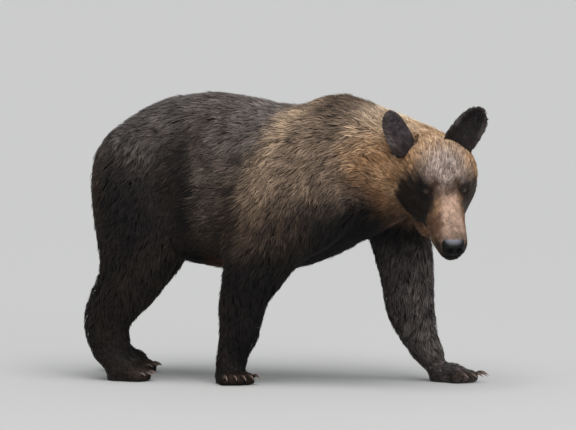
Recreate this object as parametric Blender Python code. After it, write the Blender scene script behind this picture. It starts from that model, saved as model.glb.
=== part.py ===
"""A brown bear in mid-stride, head low and turned to its right, as a life-size display model.

Metres, +Z up, +X the way the bear walks, +Y its left side.  The coat is part of every solid, so an
outline here runs along the tips of the hair.  The body is built as overlapping volumes, fused into
one skin, cut flat where it stands, and then parted into the pieces a person would name.  The last
step sets the whole model down with its origin under the middle of its box.
"""

from math import cos, pi, radians, sin

import bmesh
import bpy
import numpy as np
from mathutils import Matrix, Vector

# ---------------------------------------------------------------- driving dimensions
GAP = 0.0004                 # left between neighbouring solids
VOXEL = 0.0085               # grain at which the volumes are fused
SMOOTH_PASSES = 7            # softens the joints between the volumes
BODY_FACES = 3080            # triangles kept for all the flesh before it is parted
FINE_WEIGHT = 0.72           # the head and the paws are thinned less than the rest
PAW_HEIGHT = 0.085
RING_POINTS = 16             # points round a lofted section
SECTION_POWER = 2.25         # 2 is an ellipse, more is squarer
STEPS_PER_SPAN = 4           # rings between two stations

EYE_CENTRE = Vector((0.650, -0.176, 0.647))    # the middle between the eyes
HEAD_TURN = radians(-59.0)                     # to the bear's right
HEAD_DROP = radians(-40.0)                     # nose down
HEAD_ROLL = radians(2.0)                       # far side raised
EYE_RADIUS = 0.0120
EYE_SIDE = 0.0610                              # from the midline
EYE_SHOWS = 0.0035                             # stands proud of the coat's outline

EAR_LENGTH = 0.104
EAR_HALF_WIDTH = 0.056
EAR_ROOT = 0.032                               # sunk into the head
EAR_GAP = 0.0016                               # its curled sides need more room than GAP
EAR_RINGS = 7
EAR_POINTS = 12
EAR_PLACES = {                                 # in the head's frame: root, up the ear, out of its dish
    "left": ((-0.166, 0.084, 0.086), (-0.41, 0.61, 0.68), (0.85, 0.00, 0.52)),
    "right": ((-0.168, -0.113, 0.068), (-0.600, -0.430, 0.640), (-0.74, -0.56, -0.22)),
}

NOSE_BACK = 0.168                              # forward of the eyes
NOSE_DEPTH = 0.044
NOSE_HALF_WIDTH = 0.040

TOES = 5
CLAW_SIDES = 5
CLAW_RINGS = 4
FORE_CLAW = 0.048
HIND_CLAW = 0.026

# ---------------------------------------------------------------- stations
# Trunk: x, top z, bottom z, half width.
TRUNK = [
    (-0.595, 0.730, 0.600, 0.065),
    (-0.565, 0.785, 0.530, 0.125),
    (-0.512, 0.842, 0.470, 0.170),
    (-0.440, 0.895, 0.430, 0.200),
    (-0.340, 0.936, 0.400, 0.222),
    (-0.200, 0.955, 0.370, 0.240),
    (-0.060, 0.940, 0.355, 0.252),
    (0.050, 0.916, 0.360, 0.252),
    (0.140, 0.916, 0.380, 0.245),
    (0.220, 0.938, 0.410, 0.230),
    (0.300, 0.940, 0.450, 0.208),
    (0.380, 0.905, 0.495, 0.180),
    (0.460, 0.850, 0.550, 0.140),
]

# Neck: x, y, z of the middle, half width, half height.
NECK = [
    (0.240, 0.000, 0.690, 0.190, 0.225),
    (0.350, -0.004, 0.705, 0.172, 0.218),
    (0.440, -0.018, 0.710, 0.150, 0.182),
    (0.520, -0.042, 0.712, 0.130, 0.150),
    (0.590, -0.075, 0.712, 0.118, 0.128),
]

# Head, in its own frame: forward of the eyes, top, bottom, half width, how far the jaw narrows.
HEAD = [
    (-0.230, 0.015, -0.075, 0.060, 0.00),
    (-0.200, 0.060, -0.120, 0.100, 0.00),
    (-0.150, 0.090, -0.165, 0.129, 0.00),
    (-0.100, 0.090, -0.195, 0.138, 0.05),
    (-0.050, 0.076, -0.198, 0.127, 0.14),
    (-0.005, 0.046, -0.184, 0.097, 0.22),
    (0.035, 0.010, -0.164, 0.074, 0.28),
    (0.080, -0.014, -0.147, 0.062, 0.36),
    (0.130, -0.028, -0.146, 0.058, 0.42),
    (0.175, -0.040, -0.142, 0.053, 0.46),
    (0.200, -0.056, -0.132, 0.040, 0.46),
]

# Legs: x, y, z of the middle, half thickness across, half depth fore and aft.
LEGS = {
    "foreleg_right": [
        (0.270, -0.165, 0.660, 0.075, 0.130),
        (0.190, -0.180, 0.560, 0.086, 0.132),
        (0.100, -0.188, 0.485, 0.086, 0.112),
        (0.030, -0.184, 0.412, 0.080, 0.112),
        (-0.006, -0.176, 0.350, 0.073, 0.104),
        (-0.031, -0.170, 0.290, 0.065, 0.088),
        (-0.042, -0.164, 0.230, 0.059, 0.080),
        (-0.056, -0.158, 0.155, 0.055, 0.073),
        (-0.076, -0.154, 0.100, 0.048, 0.054),
        (-0.086, -0.152, 0.050, 0.048, 0.050),
    ],
    "foreleg_left": [
        (0.300, 0.155, 0.710, 0.075, 0.120),
        (0.355, 0.172, 0.620, 0.086, 0.126),
        (0.390, 0.175, 0.520, 0.084, 0.118),
        (0.416, 0.170, 0.400, 0.076, 0.098),
        (0.426, 0.165, 0.330, 0.070, 0.094),
        (0.434, 0.160, 0.270, 0.064, 0.090),
        (0.448, 0.155, 0.208, 0.058, 0.083),
        (0.468, 0.151, 0.160, 0.053, 0.070),
        (0.494, 0.148, 0.112, 0.050, 0.058),
        (0.530, 0.144, 0.065, 0.050, 0.046),
    ],
    "hindleg_right": [
        (-0.404, -0.115, 0.740, 0.085, 0.170),
        (-0.412, -0.145, 0.640, 0.102, 0.162),
        (-0.402, -0.168, 0.530, 0.100, 0.148),
        (-0.396, -0.178, 0.430, 0.088, 0.142),
        (-0.420, -0.178, 0.340, 0.074, 0.118),
        (-0.458, -0.174, 0.284, 0.065, 0.099),
        (-0.500, -0.168, 0.230, 0.057, 0.090),
        (-0.518, -0.162, 0.178, 0.051, 0.080),
        (-0.500, -0.158, 0.115, 0.049, 0.072),
        (-0.455, -0.156, 0.062, 0.054, 0.055),
        (-0.410, -0.155, 0.040, 0.056, 0.038),
    ],
    "hindleg_left": [
        (-0.420, 0.115, 0.740, 0.085, 0.160),
        (-0.432, 0.145, 0.630, 0.102, 0.150),
        (-0.434, 0.166, 0.520, 0.096, 0.136),
        (-0.452, 0.172, 0.430, 0.082, 0.116),
        (-0.500, 0.170, 0.340, 0.069, 0.096),
        (-0.556, 0.165, 0.270, 0.059, 0.084),
        (-0.606, 0.160, 0.200, 0.051, 0.074),
        (-0.624, 0.156, 0.140, 0.047, 0.066),
        (-0.602, 0.154, 0.085, 0.049, 0.058),
        (-0.555, 0.152, 0.050, 0.054, 0.046),
        (-0.500, 0.151, 0.038, 0.056, 0.036),
    ],
}

# Paws: middle of the pad, heading, length of the pad, width, claw length.
PAWS = {
    "foreleg_right": ((-0.082, -0.156), radians(-48.0), 0.112, 0.110, FORE_CLAW),
    "foreleg_left": ((0.572, 0.140), radians(-17.0), 0.142, 0.116, FORE_CLAW),
    "hindleg_right": ((-0.455, -0.156), radians(2.0), 0.122, 0.104, HIND_CLAW),
    "hindleg_left": ((-0.550, 0.152), radians(6.0), 0.130, 0.104, HIND_CLAW),
}

# Where each leg leaves the trunk: middle and radius of the round top, then the foot's reach in x.
LEG_CUTS = {
    "foreleg_right": ((0.185, 0.580), 0.125, (-0.200, 0.070)),
    "foreleg_left": ((0.345, 0.620), 0.140, (0.330, 0.800)),
    "hindleg_right": ((-0.440, 0.650), 0.200, (-0.680, -0.260)),
    "hindleg_left": ((-0.450, 0.650), 0.195, (-0.760, -0.340)),
}
LEG_CUT_INSIDE = {"fore": 0.045, "hind": 0.080}      # where the legs start, from the midline
JOINT_HEIGHTS = {
    "foreleg_right": (0.340, 0.085),
    "foreleg_left": (0.400, 0.105),
    "hindleg_right": (0.350, 0.150),
    "hindleg_left": (0.350, 0.130),
}

# ---------------------------------------------------------------- finishes
FINISHES = {
    "coat_dark": ((0.030, 0.022, 0.018), 0.85),
    "coat_brown": ((0.110, 0.070, 0.042), 0.85),
    "coat_golden": ((0.300, 0.180, 0.090), 0.85),
    "coat_muzzle": ((0.420, 0.300, 0.230), 0.80),
    "nose_leather": ((0.050, 0.046, 0.050), 0.45),
    "eye_glass": ((0.060, 0.030, 0.014), 0.08),
    "claw_horn": ((0.160, 0.110, 0.085), 0.40),
}


# ---------------------------------------------------------------- the head's own frame
def head_frame():
    """Columns: forward out of the nose, the bear's left, up through the crown; then its origin."""
    turn = Matrix.Rotation(HEAD_TURN, 4, "Z")
    drop = Matrix.Rotation(-HEAD_DROP, 4, "Y")
    roll = Matrix.Rotation(HEAD_ROLL, 4, "X")
    return Matrix.Translation(EYE_CENTRE) @ turn @ drop @ roll


HEAD_FRAME = head_frame()


# ---------------------------------------------------------------- small makers
def new_object(name, mesh_builder):
    """An object whose mesh is whatever mesh_builder puts into a bmesh."""
    bm = bmesh.new()
    mesh_builder(bm)
    bmesh.ops.recalc_face_normals(bm, faces=bm.faces)
    mesh = bpy.data.meshes.new(name)
    bm.to_mesh(mesh)
    bm.free()
    obj = bpy.data.objects.new(name, mesh)
    bpy.context.collection.objects.link(obj)
    return obj


def settle(obj):
    """Applies the modifiers that are on an object."""
    graph = bpy.context.evaluated_depsgraph_get()
    done = bpy.data.meshes.new_from_object(obj.evaluated_get(graph))
    obj.modifiers.clear()
    obj.data = done
    return obj


def boolean(obj, operation, tool):
    cut = obj.modifiers.new(operation.lower(), "BOOLEAN")
    cut.operation = operation
    cut.solver = "EXACT"
    cut.object = tool
    return settle(obj)


def duplicate(obj, name):
    twin = bpy.data.objects.new(name, obj.data.copy())
    bpy.context.collection.objects.link(twin)
    return twin


def discard(*objects):
    for obj in objects:
        bpy.data.objects.remove(obj)


def smooth_rows(rows, steps=STEPS_PER_SPAN):
    """A Catmull-Rom curve through the stations, all columns at once."""
    rows = np.array(rows, float)
    ends = [2 * rows[0] - rows[1]], [2 * rows[-1] - rows[-2]]
    held = np.vstack([ends[0], rows, ends[1]])
    t = np.linspace(0.0, 1.0, steps, endpoint=False)[:, None]
    spans = []
    for a, b, c, d in zip(held, held[1:], held[2:], held[3:]):
        spans.append(0.5 * (2 * b + (c - a) * t + (2 * a - 5 * b + 4 * c - d) * t**2
                            + (3 * b - a - 3 * c + d) * t**3))
    return np.vstack(spans + [rows[-1:]])


def section(across, above, below, power=SECTION_POWER):
    """One ring: a squared ellipse whose upper and lower halves differ; two columns."""
    angle = np.linspace(0.0, 2 * pi, RING_POINTS, endpoint=False)
    side = np.sign(np.cos(angle)) * np.abs(np.cos(angle)) ** (2 / power)
    rise = np.sign(np.sin(angle)) * np.abs(np.sin(angle)) ** (2 / power)
    return np.column_stack([side * across, np.where(rise > 0, rise * above, rise * below)])


def add_rings(bm, rings):
    """Bridges a list of rings into one closed tube with flat ends."""
    loops = [[bm.verts.new(point) for point in ring] for ring in rings]
    count = len(loops[0])
    for near, far in zip(loops, loops[1:]):
        for i in range(count):
            j = (i + 1) % count
            bm.faces.new((near[i], near[j], far[j], far[i]))
    bm.faces.new(loops[0][::-1])
    bm.faces.new(loops[-1])


def add_blob(bm, centre, radii, turn=Matrix.Identity(4)):
    """An ellipsoid."""
    place = Matrix.Translation(centre) @ turn @ Matrix.Diagonal((*radii, 1.0))
    bmesh.ops.create_uvsphere(bm, u_segments=20, v_segments=12, radius=1.0, matrix=place)


# ---------------------------------------------------------------- volumes of the body
def add_trunk(bm):
    rings = []
    for x, top, bottom, half in smooth_rows(TRUNK):
        middle = bottom + 0.50 * (top - bottom)
        ring = section(half, top - middle, middle - bottom)
        rings.append([(x, side, middle + rise) for side, rise in ring])
    add_rings(bm, rings)
    hump = Matrix.Rotation(radians(6.0), 4, "Y")
    add_blob(bm, (0.255, 0.0, 0.845), (0.165, 0.070, 0.108), hump)
    for side in (-1, 1):
        blade = Matrix.Rotation(radians(18.0), 4, "Y")
        add_blob(bm, (0.235, 0.125 * side, 0.690), (0.125, 0.092, 0.205), blade)
        add_blob(bm, (-0.425, 0.105 * side, 0.700), (0.150, 0.112, 0.158))


def add_neck(bm):
    rings = []
    rows = smooth_rows(NECK)
    ahead = np.gradient(rows[:, :3], axis=0)
    for (x, y, z, half, height), way in zip(rows, ahead):
        flat = Vector((way[0], way[1], 0.0)).normalized()
        left = Vector((-flat.y, flat.x, 0.0))
        up = Vector((way[0], way[1], way[2])).normalized().cross(left)
        ring = section(half, height, height)
        rings.append([Vector((x, y, z)) + left * side + up * rise for side, rise in ring])
    add_rings(bm, rings)


def add_head(bm):
    rings = []
    for forward, top, bottom, half, narrowing in smooth_rows(HEAD):
        middle = bottom + 0.50 * (top - bottom)
        ring = section(half, top - middle, middle - bottom)
        ring[:, 0] *= 1.0 + narrowing * np.minimum(ring[:, 1], 0.0) / (middle - bottom)
        rings.append([HEAD_FRAME @ Vector((forward, side, middle + rise)) for side, rise in ring])
    add_rings(bm, rings)
    turn = HEAD_FRAME.to_3x3().to_4x4()
    for side in (-1, 1):
        add_blob(bm, HEAD_FRAME @ Vector((-0.110, 0.070 * side, -0.080)), (0.085, 0.066, 0.082), turn)
        add_blob(bm, HEAD_FRAME @ Vector((-0.022, 0.050 * side, 0.022)), (0.040, 0.026, 0.024), turn)
        add_blob(bm, HEAD_FRAME @ Vector((0.110, 0.027 * side, -0.092)), (0.080, 0.032, 0.036), turn)
        add_blob(bm, HEAD_FRAME @ Vector((-0.035, 0.034 * side, -0.152)), (0.085, 0.044, 0.056), turn)


def add_leg(bm, rows):
    """Rings square to the leg's line, wide across and deep fore and aft."""
    rings = []
    rows = smooth_rows(rows)
    along = np.gradient(rows[:, :3], axis=0)
    left = Vector((0.0, 1.0, 0.0))
    for (x, y, z, half, depth), way in zip(rows, along):
        fore = left.cross(Vector(way)).normalized()
        ring = section(half, depth, depth)
        rings.append([Vector((x, y, z)) + left * side + fore * rise for side, rise in ring])
    add_rings(bm, rings)


def toe_places(pad):
    """Each toe's root, heading and size, fanned across the front of a pad."""
    (x, y), heading, length, width, claw = pad
    for toe in range(TOES):
        spread = (toe - (TOES - 1) / 2) / ((TOES - 1) / 2)
        fan = heading + radians(11.0) * spread
        reach = 0.40 * length - 0.016 * spread**2
        aside = 0.395 * width * spread
        root = Vector((x + reach * cos(heading) - aside * sin(heading),
                       y + reach * sin(heading) + aside * cos(heading), 0.0))
        yield toe, root, fan


def add_paw(bm, pad):
    (x, y), heading, length, width, claw = pad
    turn = Matrix.Rotation(heading, 4, "Z")
    add_blob(bm, (x, y, 0.026), (length / 2, width / 2, 0.040), turn)
    for toe, root, fan in toe_places(pad):
        ahead = Vector((cos(fan), sin(fan), 0.0))
        centre = root + ahead * 0.018 + Vector((0.0, 0.0, 0.018))
        add_blob(bm, centre, (0.034, 0.0148, 0.0235), Matrix.Rotation(fan, 4, "Z"))


def add_body(bm):
    add_trunk(bm)
    add_neck(bm)
    add_head(bm)
    for name, rows in LEGS.items():
        add_leg(bm, rows)
        add_paw(bm, PAWS[name])


def thinned(body):
    """Collapses edges down to BODY_FACES triangles, sparing the head and the paws."""
    to_head = HEAD_FRAME.inverted()
    group = body.vertex_groups.new(name="may_go")
    for vertex in body.data.vertices:
        in_head = (to_head @ vertex.co).x > -0.18 and vertex.co.z > 0.36
        fine = in_head or vertex.co.z < PAW_HEIGHT
        group.add([vertex.index], FINE_WEIGHT if fine else 1.0, "REPLACE")
    thin = body.modifiers.new("thin", "DECIMATE")
    thin.vertex_group = group.name
    thin.ratio = BODY_FACES / (2 * len(body.data.polygons))
    settle(body)
    body.vertex_groups.clear()


def fused_body():
    """The volumes as one smooth closed skin, standing flat on its soles."""
    body = new_object("body", add_body)
    fuse = body.modifiers.new("fuse", "REMESH")
    fuse.mode = "VOXEL"
    fuse.voxel_size = VOXEL
    soften = body.modifiers.new("soften", "SMOOTH")
    soften.iterations = SMOOTH_PASSES
    settle(body)
    thinned(body)
    floor = new_object("floor", lambda bm: add_box(bm, (-2.0, -2.0, -1.0), (2.0, 2.0, 0.0)))
    boolean(body, "DIFFERENCE", floor)
    discard(floor)
    return body


# ---------------------------------------------------------------- cutting shapes
def add_box(bm, low, high, frame=Matrix.Identity(4)):
    centre = (Vector(low) + Vector(high)) / 2
    size = Vector(high) - Vector(low)
    place = frame @ Matrix.Translation(centre) @ Matrix.Diagonal((*size, 1.0))
    bmesh.ops.create_cube(bm, size=1.0, matrix=place)


def box_region(low, high, frame=Matrix.Identity(4)):
    """A maker of boxes that can be grown by a little on every side."""
    def make(bm, grow=0.0):
        rim = Vector((grow, grow, grow))
        add_box(bm, Vector(low) - rim, Vector(high) + rim, frame)
    return make


def leg_region(name):
    """A maker of prisms: round over the shoulder or hip, running down to the foot's reach."""
    (x, z), radius, (rear, front) = LEG_CUTS[name]
    side = 1 if name.endswith("left") else -1

    def make(bm, grow=0.0):
        outline = [(x + (radius + grow) * cos(a), z + (radius + grow) * sin(a))
                   for a in np.linspace(0.0, pi, 15)]
        outline += [(rear - grow, 0.10), (rear - grow, -0.1), (front + grow, -0.1), (front + grow, 0.10)]
        for y in (side * (LEG_CUT_INSIDE[name[:4]] - grow), side * 0.6):
            for px, pz in outline:
                bm.verts.new((px, y, pz))
        hull = bmesh.ops.convex_hull(bm, input=bm.verts)
        bmesh.ops.delete(bm, geom=list(set(hull["geom_interior"])), context="VERTS")
    return make


def part_off(body, region, name):
    """Takes the piece of body inside a region, and leaves the rest a gap away from it."""
    tool = new_object("tool", region)
    piece = boolean(duplicate(body, name), "INTERSECT", tool)
    wider = new_object("wider_tool", lambda bm: region(bm, grow=GAP))
    boolean(body, "DIFFERENCE", wider)
    discard(tool, wider)
    return piece


def seat(body, maker, name, gap=GAP):
    """Sets a separately made piece into body, in a seat a gap wider than itself."""
    piece = new_object(name, maker)
    wider = new_object("wider_" + name, lambda bm: maker(bm, grow=gap))
    boolean(body, "DIFFERENCE", wider)
    discard(wider)
    return piece


# ---------------------------------------------------------------- small pieces
def ear_frame(root, axis, facing):
    """A frame at the ear's root: x out of its hollow, y across it, z up its length."""
    turn = HEAD_FRAME.to_3x3()
    up = (turn @ Vector(axis)).normalized()
    out = turn @ Vector(facing)
    out = (out - up * out.dot(up)).normalized()
    across = up.cross(out)
    frame = Matrix((out, across, up)).transposed().to_4x4()
    frame.translation = HEAD_FRAME @ Vector(root)
    return frame


def ear_maker(frame):
    """A rounded paddle, broad and thick at the root, its outer half curled forward into a dish."""
    def make(bm, grow=0.0):
        rings = []
        for along in np.linspace(0.0, 1.0, EAR_RINGS):
            height = (EAR_LENGTH + EAR_ROOT) * sin(along * pi / 2) - EAR_ROOT
            rise = max(0.0, height) / EAR_LENGTH
            swell = max(1.0 - rise**4.0, 0.0) ** 0.5
            half = max(EAR_HALF_WIDTH * (1.0 - 0.12 * rise) * swell, 0.008)
            thick = 0.016 - 0.007 * rise + grow
            dish = 0.013 * sin(min(rise * 1.05, 1.0) * pi) ** 0.7
            angle = np.linspace(0.0, 2 * pi, EAR_POINTS, endpoint=False)
            aside = (half + grow) * np.cos(angle)
            middle = np.maximum(1.0 - (aside / half) ** 2, 0.0)
            out = thick * np.sin(angle) - np.where(np.sin(angle) > 0.01, dish, 0.0) * middle
            out += 0.30 * aside**2 / half
            height += (2.0 * along - 1.0) * grow
            rings.append([frame @ Vector((o, a, height)) for o, a in zip(out, aside)])
        add_rings(bm, rings)
    return make


def eye_maker(centre):
    def make(bm, grow=0.0):
        place = Matrix.Translation(centre)
        bmesh.ops.create_uvsphere(bm, u_segments=10, v_segments=7, radius=EYE_RADIUS + grow, matrix=place)
    return make


def eye_centre(head, side):
    """Found by looking back at the face along the way the eye looks."""
    way = (HEAD_FRAME.to_3x3() @ Vector((0.86, 0.50 * side, 0.0))).normalized()
    aim = HEAD_FRAME @ Vector((0.010, EYE_SIDE * side, 0.0))
    hit, point, normal, face = head.ray_cast(aim + way * 0.2, -way)
    return point - way * (EYE_RADIUS - EYE_SHOWS)


def nose_maker(bm, grow=0.0):
    """A squared pad across the end of the muzzle, narrower below, its front face rounded."""
    rings = []
    for along in np.linspace(0.0, 1.0, 6):
        forward = NOSE_BACK - grow + (NOSE_DEPTH + 2 * grow) * sin(along * pi / 2)
        swell = max(cos(along * pi / 2), 0.10) ** 0.40
        ring = section(NOSE_HALF_WIDTH * swell + grow, 0.026 * swell + grow, 0.030 * swell + grow, 2.6)
        narrow = 1.0 + 0.30 * np.minimum(ring[:, 1], 0.0) / 0.030
        drop = -0.074 - 0.006 * along
        rings.append([HEAD_FRAME @ Vector((forward, side, drop + rise))
                      for side, rise in zip(ring[:, 0] * narrow, ring[:, 1])])
    add_rings(bm, rings)


def claw_maker(root, heading, length, radius, pitch):
    """A curved tapering horn, flattened from side to side, arching forward and down."""
    def make(bm, grow=0.0):
        rings = []
        point = root.copy()
        ahead = Vector((cos(heading), sin(heading), 0.0))
        aside = Vector((-sin(heading), cos(heading), 0.0))
        for along in np.linspace(0.0, 1.0, CLAW_RINGS):
            slope = pitch - radians(58.0) * along
            way = ahead * cos(slope) + Vector((0.0, 0.0, sin(slope)))
            up = aside.cross(way) * -1.0
            size = radius * (1.0 - 0.86 * along**1.3) + grow
            angle = np.linspace(0.0, 2 * pi, CLAW_SIDES, endpoint=False)
            rings.append([point + aside * (0.72 * size * c) + up * (size * s)
                          for c, s in zip(np.cos(angle), np.sin(angle))])
            point = point + way * (length / (CLAW_RINGS - 1))
        add_rings(bm, rings)
    return make


def tail_maker(bm, grow=0.0):
    """A short flat tail hanging against the rump."""
    rings = []
    for along in np.linspace(0.0, 1.0, 8):
        x = -0.572 - 0.034 * sin(along * pi * 0.5)
        z = 0.745 - 0.115 * along
        swell = max(sin(pi * (0.12 + 0.86 * along)) ** 0.5, 0.2)
        ring = section(0.034 * swell + grow, 0.022 * swell + grow, 0.022 * swell + grow, 2.0)
        rings.append([(x + rise, side, z + (0.5 - along) * 2 * grow) for side, rise in ring])
    add_rings(bm, rings)


# ---------------------------------------------------------------- finishing
def finish(obj, finish_name):
    colour, roughness = FINISHES[finish_name]
    material = bpy.data.materials.get(finish_name) or bpy.data.materials.new(finish_name)
    material.use_nodes = True
    shader = material.node_tree.nodes["Principled BSDF"]
    shader.inputs["Base Color"].default_value = (*colour, 1.0)
    shader.inputs["Roughness"].default_value = roughness
    shader.inputs["Metallic"].default_value = 0.0
    obj.data.materials.clear()
    obj.data.materials.append(material)
    obj.data.shade_smooth()
    return obj


def leg_pieces(body, name):
    """Upper leg, lower leg and paw with its claws."""
    upper_end, paw_top = JOINT_HEIGHTS[name]
    kind = "fore" if name.startswith("fore") else "hind"
    side = name.split("_")[1]
    lower_name = "forearm" if kind == "fore" else "shank"
    whole = part_off(body, leg_region(name), f"{kind}leg_{side}_upper")
    paw = part_off(whole, box_region((-2, -2, -1), (2, 2, paw_top)), f"{kind}paw_{side}")
    lower = part_off(whole, box_region((-2, -2, -1), (2, 2, upper_end)), f"{lower_name}_{side}")
    pad = PAWS[name]
    claws = []
    for toe, root, fan in toe_places(pad):
        start = root + Vector((cos(fan), sin(fan), 0.0)) * 0.036 + Vector((0.0, 0.0, 0.024))
        maker = claw_maker(start, fan, pad[4], 0.0068, radians(14.0))
        claws.append(seat(paw, maker, f"claw_{kind}_{side}_{toe + 1}"))
    for claw in claws:
        finish(claw, "claw_horn")
    for piece in (whole, lower, paw):
        finish(piece, "coat_dark")


def head_pieces(body):
    for name, place in EAR_PLACES.items():
        ear = ear_maker(ear_frame(*place))
        finish(seat(body, ear, f"ear_{name}", gap=EAR_GAP), "coat_dark")
    head = part_off(body, box_region((-0.172, -0.24, -0.215), (0.30, 0.24, 0.30), HEAD_FRAME), "head")
    eyes = [(f"eye_{name}", eye_centre(head, side)) for name, side in (("left", 1), ("right", -1))]
    for name, centre in eyes:
        finish(seat(head, eye_maker(centre), name), "eye_glass")
    finish(seat(head, nose_maker, "nose"), "nose_leather")
    jaw = part_off(head, box_region((0.010, -0.3, -0.30), (0.40, 0.3, -0.116), HEAD_FRAME), "lower_jaw")
    finish(jaw, "coat_muzzle")
    finish(head, "coat_golden")


def set_down():
    """Moves the whole model so that its origin lies under the middle of its box."""
    solids = [o for o in bpy.context.scene.objects if o.type == "MESH"]
    points = np.array([v.co for o in solids for v in o.data.vertices])
    low, high = points.min(axis=0), points.max(axis=0)
    shift = Vector((-(low[0] + high[0]) / 2, -(low[1] + high[1]) / 2, -low[2]))
    for solid in solids:
        solid.data.transform(Matrix.Translation(shift))


def build():
    for obj in list(bpy.data.objects):
        bpy.data.objects.remove(obj)
    body = fused_body()
    head_pieces(body)
    for name in LEGS:
        leg_pieces(body, name)
    neck_plane = Matrix.Translation((0.395, 0.0, 0.70)) @ Matrix.Rotation(radians(-24.0), 4, "Y")
    finish(part_off(body, box_region((0.0, -1, -1), (1, 1, 1), neck_plane), "neck"), "coat_golden")
    finish(seat(body, tail_maker, "tail"), "coat_dark")
    body.name = "trunk"
    finish(body, "coat_brown")
    set_down()


build()
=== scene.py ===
"""The looks of a life-size brown bear: one skin, its coat of solid tufts, eyes, nose and claws.

Metres, +Z up, +X the way the bear walks, +Y its left side.  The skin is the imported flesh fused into
one surface and sunk by the depth of the coat; the tufts are rooted on the skin, follow the lie of the
coat over it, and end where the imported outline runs.  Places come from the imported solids; the measures
of the coat, the head, the claws, the light and the view are named first, and the marks of the coat
have their places where they are laid.
"""

from math import cos, pi, radians, sin

import bmesh
import bpy
import numpy as np
from mathutils import Matrix, Vector


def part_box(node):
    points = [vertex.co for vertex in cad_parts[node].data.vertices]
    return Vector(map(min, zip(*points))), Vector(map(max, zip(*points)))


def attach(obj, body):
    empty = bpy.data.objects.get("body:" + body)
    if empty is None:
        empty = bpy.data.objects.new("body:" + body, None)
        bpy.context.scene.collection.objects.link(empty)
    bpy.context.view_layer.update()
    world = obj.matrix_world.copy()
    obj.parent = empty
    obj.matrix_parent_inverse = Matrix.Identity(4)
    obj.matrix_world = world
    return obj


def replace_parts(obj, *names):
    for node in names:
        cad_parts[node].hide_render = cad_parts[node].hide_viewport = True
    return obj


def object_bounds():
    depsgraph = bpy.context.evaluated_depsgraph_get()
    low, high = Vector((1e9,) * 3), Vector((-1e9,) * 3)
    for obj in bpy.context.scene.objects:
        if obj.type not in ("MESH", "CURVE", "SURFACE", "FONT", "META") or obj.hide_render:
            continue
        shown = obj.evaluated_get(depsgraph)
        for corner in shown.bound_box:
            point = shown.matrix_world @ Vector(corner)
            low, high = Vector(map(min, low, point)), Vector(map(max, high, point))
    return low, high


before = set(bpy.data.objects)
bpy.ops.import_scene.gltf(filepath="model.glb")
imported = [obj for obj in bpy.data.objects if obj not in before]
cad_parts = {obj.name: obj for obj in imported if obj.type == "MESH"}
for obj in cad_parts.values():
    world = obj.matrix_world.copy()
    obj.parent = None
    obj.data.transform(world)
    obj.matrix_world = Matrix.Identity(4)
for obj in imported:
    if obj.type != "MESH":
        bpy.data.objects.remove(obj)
cad_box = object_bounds()

# ---------------------------------------------------------------- the pieces of the frame
SIDES = ("left", "right")
LEGS = [f"{kind}leg_{side}" for kind in ("fore", "hind") for side in SIDES]
PAWS = [f"{kind}paw_{side}" for kind in ("fore", "hind") for side in SIDES]
UPPER_LEGS = [f"{leg}_upper" for leg in LEGS]
LOWER_LEGS = [f"{name}_{side}" for name in ("forearm", "shank") for side in SIDES]
EARS = [f"ear_{side}" for side in SIDES]
BODY = ["trunk", "neck", "head", "lower_jaw", "tail"] + UPPER_LEGS + LOWER_LEGS + PAWS
FILLED = ["nose", "eye_left", "eye_right"]         # fused with the flesh, so the skin has no holes

# ---------------------------------------------------------------- the skin
MERGE = 0.00001
GRAIN = 0.0100                   # voxel of the fused skin
FINE_ROUNDS = 2                  # times that the face is divided; the paws and the head, once less

# ---------------------------------------------------------------- the head's own frame
HEAD_TURN = radians(-59.0)       # to the bear's right
HEAD_DROP = radians(-40.0)       # nose down
HEAD_ROLL = radians(2.0)
CHEEK = (-0.003, 0.090, -0.056)  # the middle of the left cheek's dark patch; the right one mirrors it
LEFT_CHEEK_LESS = 0.012          # the left patch reaches this much less far
LOOKS_TO = (0.309, -0.950, 0.052)  # in the world, towards whoever stands before it
EYE_DEEPER = 0.0035              # the balls sit this much deeper than packed, behind their lids
OPENING = (0.84, 0.50, 0.46)     # the lids' half width and height above and below, in eye radii
LIDS_REACH = (0.0215, 0.0180)    # how far the lids run out under the skin, across and up
PAD_POWER = 2.6                  # the nose pad's outline is a superellipse of this power
PAD_NARROWS = 0.30               # by this share towards its foot
PAD_RIM = 0.86                   # the share of the pad's rings that lie before its rim

# ---------------------------------------------------------------- the claws
CLAW_RADIUS = 0.0068
CLAW_TAPER = 0.93                # the share of the radius lost at the tip
CLAW_ROOT = -0.22                # where the claw begins under the skin, in claw lengths
CLAW_ARCH = 0.20                 # its rise above the straight line, in claw lengths

# ---------------------------------------------------------------- the coat, region by region
# Depth from skin to outline, hair length, waviness, then width and spacing of the locks underneath,
# and width and spacing of the fine hairs over them.
COAT = {
    "trunk": (0.0230, 0.060, 0.32, 0.0054, 0.0082, 0.0023, 0.0046),
    "neck": (0.0250, 0.054, 0.34, 0.0048, 0.0072, 0.0021, 0.0038),
    "head": (0.0130, 0.028, 0.20, 0.0028, 0.0054, 0.0013, 0.0029),
    "lower_jaw": (0.0120, 0.026, 0.20, 0.0028, 0.0054, 0.0013, 0.0029),
    "tail": (0.0100, 0.046, 0.20, 0.0046, 0.0070, 0.0024, 0.0045),
    "upper": (0.0200, 0.050, 0.26, 0.0052, 0.0088, 0.0023, 0.0054),
    "lower": (0.0130, 0.038, 0.20, 0.0038, 0.0080, 0.0019, 0.0052),
    "paw": (0.0060, 0.018, 0.15, 0.0026, 0.0060, 0.0014, 0.0040),
}
MUZZLE = (0.0022, 0.0080, 0.06, 0.0014, 0.0040, 0.0008, 0.0022)
BROW = (0.0055, 0.0155, 0.14, 0.0018, 0.0044, 0.0009, 0.0026)
TOES = (0.0026, 0.0088, 0.10, 0.0016, 0.0044, 0.0010, 0.0032)
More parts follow.
